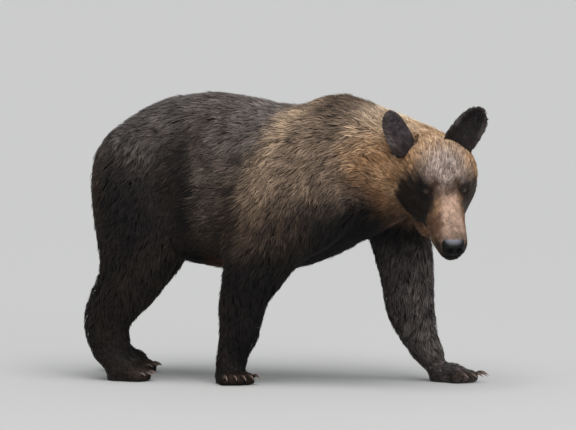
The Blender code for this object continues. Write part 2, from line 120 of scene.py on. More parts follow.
EAR = (0.0045, 0.0200, 0.20, 0.0025, 0.0048, 0.0012, 0.0027)
DEPTH, LENGTH, WAVE, WIDTH, SPACING = range(5)      # the fine layer's width and spacing are two further
SEED = 7
FLOOR_CLEAR = 0.0012             # the coat keeps this far above the floor
CLEFT = 0.0105                   # depth of the clefts between the toes
INSIDE = 0.0005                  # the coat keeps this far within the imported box
LOCK_SIZE = 0.024                # locks gather towards centres this far apart on the body
SMALL_LOCK = 0.010               # and on the head and the feet
PATCH = 0.003                    # a tuft's side on the map
STRAYS = 0.06                    # share of the tufts that stand a little out of the coat
ROOTED = 0.0015                  # how far under the skin a tuft begins
LIFTED = 0.0006                  # the least height of its rings and tip over the skin
TUFT_HIGH = 0.36                 # a ring's height as a share of the tuft's width
SECOND_RING = 0.78               # the second ring's size as a share of the first's

# ---------------------------------------------------------------- the floor, the light and the view
FLOOR_HALF = 3000.0
FLOOR_COLOUR = (0.50, 0.50, 0.49, 1.0)
ROOM_COLOUR = (0.94, 0.97, 1.0, 1.0)
ROOM_STRENGTH = 0.45
SKY_POWER = 2.7
SKY_SPREAD = radians(60.0)
SKY_FALLS = (-0.20, 0.42, -1.0)  # the way that the broad light falls
FRONT_PLACE = (4.0, -5.0, 2.6)   # the weak light in front
FRONT_AIM = (0.0, 0.0, 0.5)
FRONT_SIZE = 2.0
FRONT_POWER = 60.0
VIEW_TURN = radians(18.0)        # ahead of the bear's right side
VIEW_RISE = radians(3.0)
VIEW_FAR = 14.0                  # from the aim to the camera
VIEW_SEEN = 1.9008               # the width seen at the aim
AIM_FROM_EYES = (-0.6020, 0.2249, -0.0988)          # from the eyes' middle to the aim
SENSOR = 36.0                    # the width of the camera's sensor, in millimetres as lenses are given
VIEW_END = 8000.0


# ---------------------------------------------------------------- colours
def tone(red, green, blue):
    """A screen colour from 0 to 255 in linear light."""
    share = np.array((red, green, blue)) / 255
    return np.where(share <= 0.04045, share / 12.92, ((share + 0.055) / 1.055) ** 2.4)


SOOT = tone(15, 13, 14)
PITCH = tone(32, 26, 24)
UMBER = tone(52, 41, 34)
BARK = tone(98, 79, 65)
GRIZZLE = tone(138, 125, 117)
ASH = tone(150, 144, 144)
TAWNY = tone(166, 134, 104)
STRAW = tone(222, 192, 160)
GOLD = tone(204, 150, 94)
CREAM = tone(248, 230, 204)
RUST = tone(120, 74, 42)
SILVER = tone(232, 210, 198)
FAWN = tone(212, 176, 154)
DUN = tone(134, 114, 102)
# the violet grey of a painted sheen on the ears
VIOLET_SHEEN = tone(88, 77, 80)


# ---------------------------------------------------------------- arithmetic on arrays
def unit(vectors):
    """Each row divided by its own length."""
    return vectors / np.maximum(np.linalg.norm(vectors, axis=1, keepdims=True), 1e-9)


def ease(low, high, values):
    """0 below low, 1 above high, and 3t^2 - 2t^3 between them; high may be the lower number."""
    t = np.clip((values - low) / (high - low), 0.0, 1.0)
    return t * t * (3.0 - 2.0 * t)


def mix(first, second, amount):
    """first where amount is 0 and second where it is 1, row by row."""
    amount = np.asarray(amount)[:, None] if np.ndim(amount) else amount
    return np.asarray(first) * (1.0 - amount) + np.asarray(second) * amount


def bump(points, centre, radii):
    """exp(-d^2), where d is the distance from centre measured in radii."""
    away = (points - np.asarray(centre)) / np.asarray(radii)
    return np.exp(-(away**2).sum(axis=1))


def side_bump(points, x, z, wide, high):
    """A bump seen from the side: the same through the whole body, from left to right."""
    return bump(points * (1, 0, 1), (x, 0.0, z), (wide, 1.0, high))


def scattered(cells, seed):
    """A number from 0 to 1 for each lattice cell: the fraction of a large multiple of a sine."""
    value = np.sin(cells @ np.array((127.1, 311.7, 74.7)) + 17.31 * seed) * 43758.5453
    return value - np.floor(value)


def mottle(points, size, seed):
    """Smooth noise from -1 to 1: scattered numbers on a lattice of that size, eased between corners."""
    place = points / size
    cell = np.floor(place)
    part = place - cell
    part = part * part * (3.0 - 2.0 * part)
    total = np.zeros(len(points))
    for corner in np.ndindex(2, 2, 2):
        weight = np.prod(np.where(corner, part, 1.0 - part), axis=1)
        total += weight * scattered(cell + corner, seed)
    return 2.0 * total - 1.0


def lock_centres(points, size, seed):
    """The nearest of the points scattered one to a lattice cell, searched over the 27 cells around."""
    home = np.floor(points / size)
    best = np.full(len(points), 1e9)
    centre = np.zeros_like(points)
    for step in np.ndindex(3, 3, 3):
        cell = home + np.array(step) - 1
        spot = np.column_stack([scattered(cell, seed + k) for k in range(3)])
        spot = (cell + spot) * size
        gap = ((spot - points) ** 2).sum(axis=1)
        nearer = gap < best
        best[nearer] = gap[nearer]
        centre[nearer] = spot[nearer]
    return centre


# ---------------------------------------------------------------- meshes and arrays
def mesh_piece(name, points, faces):
    """A smooth-shaded object from an array of points and one of faces with equally many corners."""
    count, corners = faces.shape
    mesh = bpy.data.meshes.new(name)
    mesh.vertices.add(len(points))
    mesh.vertices.foreach_set("co", np.ascontiguousarray(points, np.float32).ravel())
    mesh.loops.add(faces.size)
    mesh.loops.foreach_set("vertex_index", np.ascontiguousarray(faces, np.int32).ravel())
    mesh.polygons.add(count)
    mesh.polygons.foreach_set("loop_start", np.arange(count, dtype=np.int32) * corners)
    mesh.update(calc_edges=True)
    mesh.shade_smooth()
    obj = bpy.data.objects.new(name, mesh)
    bpy.context.scene.collection.objects.link(obj)
    return obj


def read_points(mesh):
    """The mesh's points as rows."""
    points = np.empty(3 * len(mesh.vertices), np.float32)
    mesh.vertices.foreach_get("co", points)
    return points.reshape(-1, 3).astype(float)


def read_normals(mesh):
    """The smooth normals at the mesh's points, as rows."""
    normals = np.empty(3 * len(mesh.vertices), np.float32)
    mesh.vertex_normals.foreach_get("vector", normals)
    return normals.reshape(-1, 3).astype(float)


def write_points(mesh, points):
    """Puts rows of places back into the mesh."""
    mesh.vertices.foreach_set("co", np.ascontiguousarray(points, np.float32).ravel())
    mesh.update()


def set_colours(mesh, colours):
    """Stores one colour a point, as the attribute that the coat's material reads."""
    layer = mesh.color_attributes.new("coat", "FLOAT_COLOR", "POINT")
    filled = np.column_stack([colours, np.ones(len(colours))])
    layer.data.foreach_set("color", filled.astype(np.float32).ravel())


def set_values(mesh, name, values):
    """Stores one number a point under that name."""
    layer = mesh.attributes.new(name, "FLOAT", "POINT")
    layer.data.foreach_set("value", np.asarray(values, np.float32))


def settled(obj):
    """The object with its modifiers carried out."""
    graph = bpy.context.evaluated_depsgraph_get()
    done = bpy.data.meshes.new_from_object(obj.evaluated_get(graph))
    obj.modifiers.clear()
    obj.data = done
    return obj


def relaxed(points, edges, passes, share=0.5):
    """Moves every point by a share of the way to the mean of its neighbours, passes times."""
    count = np.maximum(np.bincount(edges.ravel(), minlength=len(points)), 1)[:, None]
    values = points.copy()
    for _ in range(passes):
        total = np.zeros_like(values)
        for column in range(values.shape[1]):
            total[:, column] += np.bincount(edges[:, 0], values[edges[:, 1], column], len(points))
            total[:, column] += np.bincount(edges[:, 1], values[edges[:, 0], column], len(points))
        values += np.reshape(share, (-1, 1) if np.ndim(share) else ()) * (total / count - values)
    return values


def read_edges(mesh):
    """The two point numbers of every edge, as rows."""
    edges = np.empty(2 * len(mesh.edges), np.int32)
    mesh.edges.foreach_get("vertices", edges)
    return edges.reshape(-1, 2)


def nearest_on(target, points):
    """The nearest places on a mesh object, and the smooth normals there."""
    probe = mesh_piece("probe", points, np.zeros((0, 3), int))
    found = []
    for rise in (0.0, 0.01):
        wrap = probe.modifiers.new("wrap", "SHRINKWRAP")
        wrap.target = target
        wrap.wrap_method = "NEAREST_SURFACEPOINT"
        wrap.wrap_mode = "ABOVE_SURFACE"
        wrap.offset = rise
        graph = bpy.context.evaluated_depsgraph_get()
        found.append(read_points(probe.evaluated_get(graph).data))
        probe.modifiers.clear()
    bpy.data.objects.remove(probe)
    return found[0], unit(found[1] - found[0])


# ---------------------------------------------------------------- the head's frame
def centre_of(node):
    """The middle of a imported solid's box."""
    low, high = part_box(node)
    return (low + high) / 2


def head_frame():
    """Columns: forward out of the nose, the bear's left, up through the crown, and the eyes' middle."""
    turn = Matrix.Rotation(HEAD_TURN, 4, "Z")
    drop = Matrix.Rotation(-HEAD_DROP, 4, "Y")
    roll = Matrix.Rotation(HEAD_ROLL, 4, "X")
    middle = (centre_of("eye_left") + centre_of("eye_right")) / 2
    return Matrix.Translation(middle) @ turn @ drop @ roll


HEAD_FRAME = head_frame()
HEAD_AXES = np.array(HEAD_FRAME.to_3x3())           # columns are the axes
HEAD_PLACE = np.array(HEAD_FRAME.translation)

BACK_OF_HEAD = -HEAD_AXES[:, 0]


def into_head(points):
    """World places in the head's frame: less its origin, along its axes."""
    return (points - HEAD_PLACE) @ HEAD_AXES


def out_of_head(points):
    """Places in the head's frame put back into the world."""
    return np.asarray(points) @ HEAD_AXES.T + HEAD_PLACE


def head_way(way):
    """A direction in the head's frame as one in the world."""
    return HEAD_AXES @ np.asarray(way, float)


def node_points(node):
    """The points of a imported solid."""
    return read_points(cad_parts[node].data)


NOSE_POINTS = into_head(node_points("nose"))
NOSE_LOW, NOSE_HIGH = NOSE_POINTS.min(axis=0), NOSE_POINTS.max(axis=0)
NOSE_HALF = (NOSE_HIGH[1] - NOSE_LOW[1]) / 2
NOSE_TALL = (NOSE_HIGH[2] - NOSE_LOW[2]) / 2
NOSE_MIDDLE = (NOSE_HIGH[2] + NOSE_LOW[2]) / 2
NOSE_TIP = out_of_head([NOSE_HIGH[0], 0.0, NOSE_MIDDLE])
EYE_RADIUS = (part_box("eye_left")[1].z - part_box("eye_left")[0].z) / 2
EYE_WAYS = {side: unit(np.array([[0.82, sign * 0.44, 0.36]]))[0] for side, sign in zip(SIDES, (1, -1))}
EYES = {side: into_head(np.array(centre_of(f"eye_{side}"))) - EYE_DEEPER * EYE_WAYS[side] for side in SIDES}


# ---------------------------------------------------------------- the fused skin
def merged_copy(nodes, name):
    """The named solids in one new object, with their loose triangles merged."""
    mesh = bpy.data.meshes.new(name)
    bm = bmesh.new()
    for node in nodes:
        bm.from_mesh(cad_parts[node].data)
    bmesh.ops.remove_doubles(bm, verts=bm.verts, dist=MERGE)
    bm.to_mesh(mesh)
    bm.free()
    obj = bpy.data.objects.new(name, mesh)
    bpy.context.scene.collection.objects.link(obj)
    return obj


def divide_where(obj, wanted):
    """Halves every edge of the faces whose points are all wanted."""
    bm = bmesh.new()
    bm.from_mesh(obj.data)
    bm.verts.ensure_lookup_table()
    chosen = set()
    for face in bm.faces:
        if all(wanted[v.index] for v in face.verts):
            chosen.update(face.edges)
    bmesh.ops.subdivide_edges(bm, edges=list(chosen), cuts=1, use_grid_fill=True)
    bm.to_mesh(obj.data)
    bm.free()
    obj.data.update()


def in_face(points):
    """The front of the head, from the brows to the nose."""
    place = into_head(points)
    near = (np.abs(place[:, 1]) < 0.12) & (np.abs(place[:, 2] + 0.06) < 0.14)
    return near & (place[:, 0] > -0.045) & (place[:, 0] < 0.3)


def in_head(points):
    """The whole head, as a box in its own frame."""
    place = into_head(points)
    return (place[:, 0] > -0.20) & (place[:, 0] < 0.3) & (np.abs(place[:, 1]) < 0.2) & (place[:, 2] > -0.22)


def in_paws(points):
    """Everything lower than the wrists and heels."""
    return points[:, 2] < 0.085


def fused_skin():
    """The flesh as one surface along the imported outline, finer on the head, the face and the paws."""
    whole = merged_copy(BODY + FILLED, "whole")
    skin = bpy.data.objects.new("skin", whole.data.copy())
    bpy.context.scene.collection.objects.link(skin)
    fuse = skin.modifiers.new("fuse", "REMESH")
    fuse.mode = "VOXEL"
    fuse.voxel_size = GRAIN
    settled(skin)
    divide_where(skin, in_head(read_points(skin.data)) | in_paws(read_points(skin.data)))
    for _ in range(FINE_ROUNDS - 1):
        divide_where(skin, in_face(read_points(skin.data)))
    points = read_points(skin.data)
    fine = in_head(points) | in_paws(points)
    snapped, _ = nearest_on(whole, points)
    points[fine] = snapped[fine]
    edges = read_edges(skin.data)
    points = relaxed(points, edges, 6)
    points = relaxed(points, edges, 8, share=np.where(fine, 0.0, 0.5))
    write_points(skin.data, points)
    bpy.data.objects.remove(whole)
    return skin


# ---------------------------------------------------------------- regions
def kind_of(node):
    """The row of COAT that a solid takes its measures from."""
    if node in UPPER_LEGS:
        return "upper"
    if node in LOWER_LEGS:
        return "lower"
    return "paw" if node in PAWS else node


def region_weights(points):
    """How much each node of flesh rules at each point: exp(-distance past the nearest / 16 mm)."""
    gaps = []
    for node in BODY:
        found, _ = nearest_on(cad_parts[node], points)
        gaps.append(np.linalg.norm(found - points, axis=1))
    gaps = np.array(gaps).T
    weights = np.exp(-(gaps - gaps.min(axis=1, keepdims=True)) / 0.016)
    return weights / weights.sum(axis=1, keepdims=True)


def face_shares(points):
    """How much a point belongs to the muzzle, and to the short hair round the brows and eyes."""
    place = into_head(points)
    x, y, z = place.T
    on_head = ease(-0.20, -0.16, x) * (np.linalg.norm(place * (1, 1, 0.8), axis=1) < 0.32)
    back = 0.45 * np.maximum(-z - 0.085, 0.0) + 0.50 * np.maximum(np.abs(y) - 0.055, 0.0)
    muzzle = ease(-0.004, 0.050, x - back) * on_head
    brow = ease(-0.085, 0.005, x) * ease(-0.135, -0.075, z) * on_head
    return muzzle, np.maximum(brow - muzzle, 0.0)


def near_claws(points):
    """1 on the toes, where the hair is short, falling to 0 behind them."""
    share = np.zeros(len(points))
    for paw in PAWS:
        kind, side = paw.split("paw_")
        for toe in range(1, 6):
            gap = np.linalg.norm(points - np.array(centre_of(f"claw_{kind}_{side}_{toe}")), axis=1)
            share = np.maximum(share, ease(0.062, 0.034, gap))
    return share


def coat_measures(points, weights):
    """The seven measures of the coat at each point, blended from the regions, the face and the toes."""
    table = np.array([COAT[kind_of(node)] for node in BODY])
    measures = weights @ table
    muzzle, brow = face_shares(points)
    measures = mix(measures, np.array(BROW), brow)
    measures = mix(measures, np.array(MUZZLE), muzzle)
    return mix(measures, np.array(TOES), near_claws(points))


# ---------------------------------------------------------------- the lie of the coat
def paw_heading(paw):
    """From the middle of the paw towards its claws, level."""
    kind, side = paw.split("paw_")
    tips = np.array([centre_of(f"claw_{kind}_{side}_{toe}") for toe in range(1, 6)])
    way = tips.mean(axis=0) - np.array(centre_of(paw))
    return unit(np.array([[way[0], way[1], 0.0]]))[0]


def leg_heading(leg):
    """Down the leg, from the middle of its upper piece to the middle of its paw."""
    upper = np.array(centre_of(leg))
    paw = np.array(centre_of(leg.replace("leg_", "paw_").replace("_upper", "")))
    return unit((paw - upper)[None])[0]


def lie_of_coat(points, normals, weights):
    """Tangent directions: back along the body and neck, away from the nose on the head, down the
    legs, and towards the claws on the paws, each weighted by its region."""
    from_nose = unit(points - NOSE_TIP)
    drop = np.array((0.0, 0.0, -1.0))
    total = np.zeros_like(points)
    for column, node in enumerate(BODY):
        kind = kind_of(node)
        if node == "trunk":
            flank = ease(0.25, 0.9, np.abs(normals[:, 1]))
            way = np.array((-1.0, 0.0, -0.05)) + flank[:, None] * (0.10, 0.0, -0.42)
        elif node == "neck":
            under = ease(0.2, 0.9, -normals[:, 2] + 0.4)
            way = np.array((-0.80, 0.22, -0.10)) + under[:, None] * (0.1, 0.0, -0.45)
        elif node in ("head", "lower_jaw"):
            way = from_nose + 0.22 * drop * ease(0.3, 0.9, np.abs(normals @ head_way((0, 1, 0))))[:, None]
        elif node == "tail":
            way = np.tile(drop, (len(points), 1))
        elif kind == "upper":
            heading = leg_heading(node)
            way = np.tile(0.55 * drop + 0.45 * heading + np.array((-0.28, 0, 0)), (len(points), 1))
        elif kind == "lower":
            way = np.tile(drop + np.array((-0.10, 0, 0)), (len(points), 1))
        else:
            way = np.tile(paw_heading(node) + 0.5 * drop, (len(points), 1))
        total += weights[:, column:column + 1] * way
    return total - normals * (total * normals).sum(axis=1, keepdims=True)


# ---------------------------------------------------------------- markings
def cheek_distance(place):
    """How far a place in the head's frame is from the middle of the nearer cheek's dark patch."""
    gaps = [np.linalg.norm(place - np.multiply(CHEEK, (1.0, sign, 1.0)), axis=1) for sign in (-1.0, 1.0)]
    return np.minimum(gaps[0], gaps[1] + LEFT_CHEEK_LESS)


def body_marks(points, normals, fleck, patch):
    """Root and tip colours of the body: nearly black legs and thighs, a grizzled back made greyer where
    it faces up by painted sheen, dark brown flanks, a tawny band that falls rearward from the dip of the
    back, a brown shoulder and a golden neck, each running softly into the next, with painted shade
    underneath, on the chest and in the folds."""
    loose = 0.030 * mottle(points, 0.13, 4) + 0.012 * fleck
    # how much a point faces up: the back and the nape are painted lighter there, as light from above
    top = ease(0.10, 0.95, normals[:, 2])
    root = np.tile(SOOT, (len(points), 1))
    tip = mix(np.tile(PITCH, (len(points), 1)), UMBER, 0.25 + 0.35 * patch)
    root, tip = rear_marks(points, root, tip, loose, top)
    root, tip = shoulder_marks(points, root, tip, loose, patch)
    root, tip = under_and_leg_marks(points, normals, root, tip, loose)
    return neck_marks(points, root, tip, loose, patch, top)


def rear_marks(points, root, tip, loose, top):
    """Flanks, hips, the back with painted sheen on top, rump, thighs and the painted shade of the fold
    before them.
    """
    x, _, z = points.T
    # brown flanks ahead of the thigh, grizzled higher up, and a greyer hip
    flank = ease(-0.25, -0.16, x + loose)
    high = ease(0.40, 0.66, z + loose)
    tip = mix(tip, BARK, high * (0.03 + 0.66 * flank))
    tip = mix(tip, GRIZZLE, 0.34 * ease(0.50, 0.74, z + loose) * flank)
    hip = side_bump(points, -0.385, 0.790, 0.090, 0.075)
    tip = mix(tip, mix(BARK, ASH, 0.4), 0.42 * hip)
    # grizzle along the back, greyer still where it faces up as painted sheen
    back = ease(0.64, 0.88, z + loose)
    tip = mix(tip, mix(GRIZZLE, ASH, 0.5), back * (0.17 + 0.38 * top))
    root = mix(root, PITCH, 0.8 * back)
    # the rump is brown behind, the thigh is nearly black, and the fold before it is painted nearly black as
    # shade in the crease
    rump = ease(-0.49, -0.58, x + loose) * ease(0.45, 0.60, z + loose)
    tip = mix(tip, BARK, 0.75 * rump)
    thigh = side_bump(points, -0.445, 0.595, 0.105, 0.125)
    tip = mix(tip, SOOT, 0.80 * thigh * (1.0 - rump))
    fold = np.exp(-((x - fold_line(z)) / 0.026) ** 2) * ease(0.44, 0.54, z) * ease(0.86, 0.74, z)
    tip = mix(tip, SOOT, 0.80 * fold)
    return root, tip


def shoulder_marks(points, root, tip, loose, patch):
    """The tawny band, the brown shoulder before it, and the dark hump above."""
    x, _, z = points.T
    ahead = x - band_line(z) + 0.6 * loose
    lower = ease(-0.06, 0.09, z - leg_line(x) + loose)
    shoulder = ease(-0.085, 0.045, ahead) * lower
    root = mix(root, PITCH, 0.9 * shoulder)
    brown = mix(mix(mix(TAWNY, GRIZZLE, 0.45), STRAW, 0.20), BARK, ease(0.74, 0.54, z))
    brown = mix(brown, UMBER, 0.60 * ease(0.68, 0.50, z) * ease(0.02, 0.10, x))
    tip = mix(tip, brown, 0.88 * shoulder)
    # duller before the neck, palest along the band, and dark on the hump
    dim = side_bump(points, 0.235, 0.72, 0.085, 0.13)
    tip = mix(tip, BARK, 0.30 * dim * shoulder)
    band = np.exp(-((ahead - 0.020) / 0.040) ** 2) * ease(0.52, 0.74, z)
    root = mix(root, UMBER, 0.5 * band)
    tip = mix(tip, mix(TAWNY, STRAW, 0.8), 0.90 * band * (0.7 + 0.3 * patch))
    hump = side_bump(points, 0.265, 0.93, 0.090, 0.085)
    tip = mix(tip, mix(BARK, UMBER, 0.25), 0.88 * hump)
    return root, tip


def under_and_leg_marks(points, normals, root, tip, loose):
    """Belly, chest, the folds of the side, the legs and the toes."""
    x, y, z = points.T
    # underneath, where the body faces down, painted shade: black behind and under the chest, with a rusty
    # edge of the belly's own colour under its middle
    under = (np.abs(y) < 0.125) * ease(-0.2, -0.6, normals[:, 2])
    tip = mix(tip, SOOT, 0.85 * under * ease(-0.12, -0.20, x))
    tip = mix(tip, RUST, 0.55 * under * ease(0.46, 0.40, z) * ease(-0.20, -0.13, x) * ease(0.02, -0.05, x))
    tip = mix(tip, SOOT, 0.85 * under * ease(0.10, 0.18, x))
    # painted shade, black from the chest up to the throat, rising with the neck
    chest = ease(0.665, 0.555, z + 0.9 * np.maximum(x - 0.32, 0.0) + loose) * ease(0.09, 0.24, x + loose)
    chest = chest * ease(0.38, 0.44, z)
    root, tip = mix(root, SOOT, 0.9 * chest), mix(tip, SOOT, 0.92 * chest)
    # painted shade behind the arm, darker across the back, and greyer on the side
    shade_behind_arm = side_bump(points, -0.058, 0.590, 0.022, 0.080)
    tip = mix(tip, SOOT, 0.80 * shade_behind_arm)
    side = side_bump(points, -0.156, 0.620, 0.034, 0.090)
    tip = mix(tip, GRIZZLE, 0.34 * side)
    saddle = side_bump(points, -0.175, 0.845, 0.075, 0.065)
    tip = mix(tip, UMBER, 0.40 * saddle)
    # the right foreleg is nearly black; the left one is grey, partly grizzle and partly painted sheen, most
    # of all in front; the hind paws greyish
    near_leg = ease(-0.12, -0.07, x) * ease(0.17, 0.12, x) * ease(0.50, 0.40, z)
    tip = mix(tip, SOOT, 0.70 * near_leg * (y < 0.02))
    shin = ease(0.26, 0.33, x) * ease(0.52, 0.40, z) * (0.55 + 0.45 * ease(-0.5, 0.5, normals[:, 0]))
    tip = mix(tip, mix(BARK, ASH, 0.55), 0.80 * shin)
    tip = mix(tip, mix(BARK, ASH, 0.3), 0.16 * ease(0.14, 0.05, z) * ease(-0.1, -0.3, x))
    # the toes are browner than the paw, and the clefts between them are painted black as shade
    cleft_shade = np.clip(toe_clefts(points) / CLEFT, 0.0, 1.0)
    toes = near_claws(points) * (1.0 - cleft_shade) * ease(-0.5, 0.2, normals[:, 2])
    tip = mix(tip, mix(BARK, RUST, 0.25), 0.50 * toes)
    root, tip = mix(root, SOOT, cleft_shade), mix(tip, SOOT, 0.92 * cleft_shade)
    return root, tip


def neck_marks(points, root, tip, loose, patch, top):
    """Gold, browner below, and palest on the nape and where it faces up, partly as a painted highlight,
    from a line that falls towards the throat.
    """
    x, _, z = points.T
    neck = ease(0.275, 0.360, x - 0.075 * ease(0.80, 0.92, z) + loose)
    neck = neck * ease(-0.05, 0.07, z - 0.670 + 0.9 * np.clip(x - 0.30, -0.05, 0.20) + loose)
    golden = mix(mix(GOLD, RUST, 0.12), STRAW, 0.12 + 0.42 * patch)
    golden = mix(golden, mix(mix(BARK, RUST, 0.4), UMBER, 0.25), 0.88 * ease(0.79, 0.62, z + loose))
    # paler where the neck faces up: painted light from above
    golden = mix(golden, mix(STRAW, CREAM, 0.35), ease(0.76, 0.87, z + loose) * (0.5 + 0.5 * top))
    # the nape: pale gold fur made paler still by a painted highlight
    nape = ease(0.38, 0.46, x + loose) * ease(0.74, 0.82, z + loose)
    root = mix(root, mix(mix(RUST, PITCH, 0.5), GOLD, 0.45 * nape), 0.85 * neck)
    golden = mix(golden, mix(STRAW, CREAM, 0.5), 0.5 * nape)
    tip = mix(tip, golden, 0.92 * neck)
    return root, tip


def fold_line(z):
    """Where the thigh's front edge runs: forward at the middle of the side, back above and below."""
    return -0.212 - 0.9 * (z - 0.66) ** 2


def band_line(z):
    """Where the dark of the rear ends: further forward with height, and ever more so."""
    w = z - 0.55
    return -0.032 + 0.15 * w + 0.50 * w * np.abs(w) + 1.4 * np.maximum(w, 0.0) ** 3


def leg_line(x):
    """The height at which the shoulder turns dark."""
    return 0.47 + 0.60 * np.clip(x - 0.02, -0.08, 0.23)


def head_marks(points, root, tip, fleck, patch):
    """Golden round the cheeks and crown, silver on the forehead, dark round the eyes, tan muzzle."""
    place = into_head(points)
    loose = 0.010 * fleck + 0.008 * mottle(points, 0.05, 9)
    root, tip = crown_marks(place, root, tip, loose, patch)
    root, tip = cheek_marks(place, root, tip, loose, patch)
    return muzzle_marks(place, root, tip, loose, face_shares(points)[0])


def crown_marks(place, root, tip, loose, patch):
    """The gold of the whole head, the painted shade of the throat, and the forehead's silver."""
    x, y, z = place.T
    head = ease(-0.21, -0.16, x + loose) * ease(-0.25, -0.19, z + loose)
    far = np.linalg.norm(place, axis=1)
    head = head * np.maximum(ease(0.275, 0.205, far + 2.0 * loose), (x > 0.08) * (far < 0.32))
    golden = mix(GOLD, STRAW, 0.20 + 0.40 * patch)
    golden = mix(golden, CREAM, 0.35 * ease(0.03, 0.09, z))
    golden = mix(golden, mix(BARK, RUST, 0.3), 0.80 * ease(-0.03, -0.15, z + loose))
    root = mix(root, mix(RUST, PITCH, 0.45), 0.9 * head)
    tip = mix(tip, golden, 0.94 * head)
    # painted shade under the jaw: the jowl darkens towards the throat
    throat = ease(-0.115, -0.180, z + 0.30 * np.maximum(x, 0.0) + loose) * head
    root, tip = mix(root, SOOT, 0.9 * throat), mix(tip, PITCH, 0.88 * throat)
    # the forehead, palest in its middle and running into the gold of the crown
    out = np.sqrt(((x + 0.018) / 0.088) ** 2 + ((y - 0.006) / 0.088) ** 2) + 10.0 * loose
    fore = ease(1.35, 0.50, out) * ease(-0.02, 0.02, z)
    root = mix(root, UMBER, 0.9 * fore)
    tip = mix(tip, mix(SILVER, BARK, np.clip(0.04 + 0.24 * patch + 0.22 * out, 0, 1)), 0.94 * fore)
    return root, tip


def cheek_marks(place, root, tip, loose, patch):
    """The dark patch of each cheek, the sockets of the eyes, and the brows' inner corners; the left patch
    and socket are painted paler, as lit.
    """
    y, z = place[:, 1], place[:, 2]
    gap = cheek_distance(place) + loose
    # between cheek and forehead the gold dulls
    dull = ease(0.150, 0.085, gap) * ease(-0.14, -0.04, z) * ease(0.030, 0.065, -y)
    tip = mix(tip, mix(UMBER, BARK, 0.6), 0.45 * dull)
    root = mix(root, SOOT, 0.7 * dull)
    dark = ease(0.104, 0.064, gap)
    root = mix(root, SOOT, dark)
    # the left patch is painted paler towards grizzle, as light falling on that side
    dark_patch_tone_lit_left = mix(mix(SOOT, UMBER, 0.12 + 0.22 * patch), GRIZZLE, 0.38 * ease(-0.02, 0.05, y))
    tip = mix(tip, dark_patch_tone_lit_left, 0.95 * dark)
    for side in SIDES:
        sign = np.sign(EYES[side][1])
        socket = bump(place, (0.006, 0.060 * sign, 0.002), (0.032, 0.027, 0.028))
        brow_spot = bump(place, (0.004, 0.034 * sign, 0.026), (0.022, 0.014, 0.017))
        mask = np.clip(1.6 * socket, 0.0, 1.0)
        # the left socket is painted browner than the right, as light on that side
        root, tip = mix(root, SOOT, mask), mix(tip, mix(SOOT, UMBER, 0.5 + 0.4 * sign), 0.92 * mask)
        mask = np.clip(1.2 * brow_spot, 0.0, 1.0)
        root, tip = mix(root, SOOT, mask), mix(tip, mix(SOOT, RUST, 0.55), 0.88 * mask)
    return root, tip


def muzzle_marks(place, root, tip, loose, muzzle):
    """Palest between the eyes, dull towards the nose, brown down the sides and further in on the right as
    painted shade, a painted shade between the eyes, and old scars.
    """
    x, y, z = place.T
    # the blaze lies 8 mm to the left of the middle, so the right side of the muzzle is darker: painted
    # shade
    edge = np.abs(y - 0.008) - 0.16 * np.maximum(x - 0.06, 0.0)
    blaze = ease(0.006, 0.046, x + loose) * ease(0.046, 0.022, edge + 0.5 * loose)
    blaze = np.maximum(blaze * ease(-0.06, -0.03, z + 0.25 * x), muzzle * ease(0.04, 0.10, x + loose))
    hue = mix(np.tile(FAWN, (len(place), 1)), DUN, 0.60 * ease(0.060, 0.150, x + loose))
    hue = mix(hue, mix(UMBER, RUST, 0.45), 0.90 * ease(0.018, 0.040, edge + loose))
    hue = mix(hue, mix(TAWNY, BARK, 0.5), 0.60 * ease(-0.070, -0.095, z + loose))
    hue = mix(hue, UMBER, 0.85 * ease(-0.105, -0.130, z + loose))
    root = mix(root, mix(hue, PITCH, 0.35), 0.9 * blaze)
    tip = mix(tip, hue, 0.94 * blaze)
    # a brown painted shade in the fold between the eyes, black round the nose pad and on the lip, and old
    # scars on the bridge
    between = bump(place, (0.014, 0.010, 0.008), (0.020, 0.045, 0.019))
    tip = mix(tip, mix(UMBER, RUST, 0.3), 0.78 * between)
    rim = ease(1.75, 1.10, pad_reach(place)) * ease(0.140, 0.170, x)
    rim = rim * (0.30 + 0.70 * ease(NOSE_MIDDLE + 0.020, NOSE_MIDDLE + 0.004, z))
    root, tip = mix(root, PITCH, 0.9 * rim), mix(tip, PITCH, 0.85 * rim)
    lip = bump(place, (0.205, 0.0, -0.106), (0.044, 0.040, 0.019))
    lip = np.clip(1.5 * lip, 0.0, 1.0)
    root, tip = mix(root, SOOT, lip), mix(tip, SOOT, 0.9 * lip)
    for spot in ((0.083, 0.001), (0.076, 0.030), (0.129, 0.008), (0.112, -0.012)):
        scar = np.exp(-((x - spot[0]) / 0.004) ** 2 - ((y - spot[1]) / 0.006) ** 2) * (z > -0.07)
        root, tip = mix(root, BARK, 0.5 * scar), mix(tip, BARK, 0.5 * scar)
    return root, tip


def markings(points, normals):
    """The colours at the root of the coat and at its tips."""
    patch = 0.5 + 0.5 * mottle(points, 0.045, 3)
    fleck = mottle(points, 0.014, 5)
    root, tip = body_marks(points, normals, fleck, patch)
    root, tip = head_marks(points, root, tip, fleck, patch)
    shade = (1.0 + 0.20 * fleck + 0.14 * (2.0 * patch - 1.0))[:, None]
    return root * shade, tip * shade


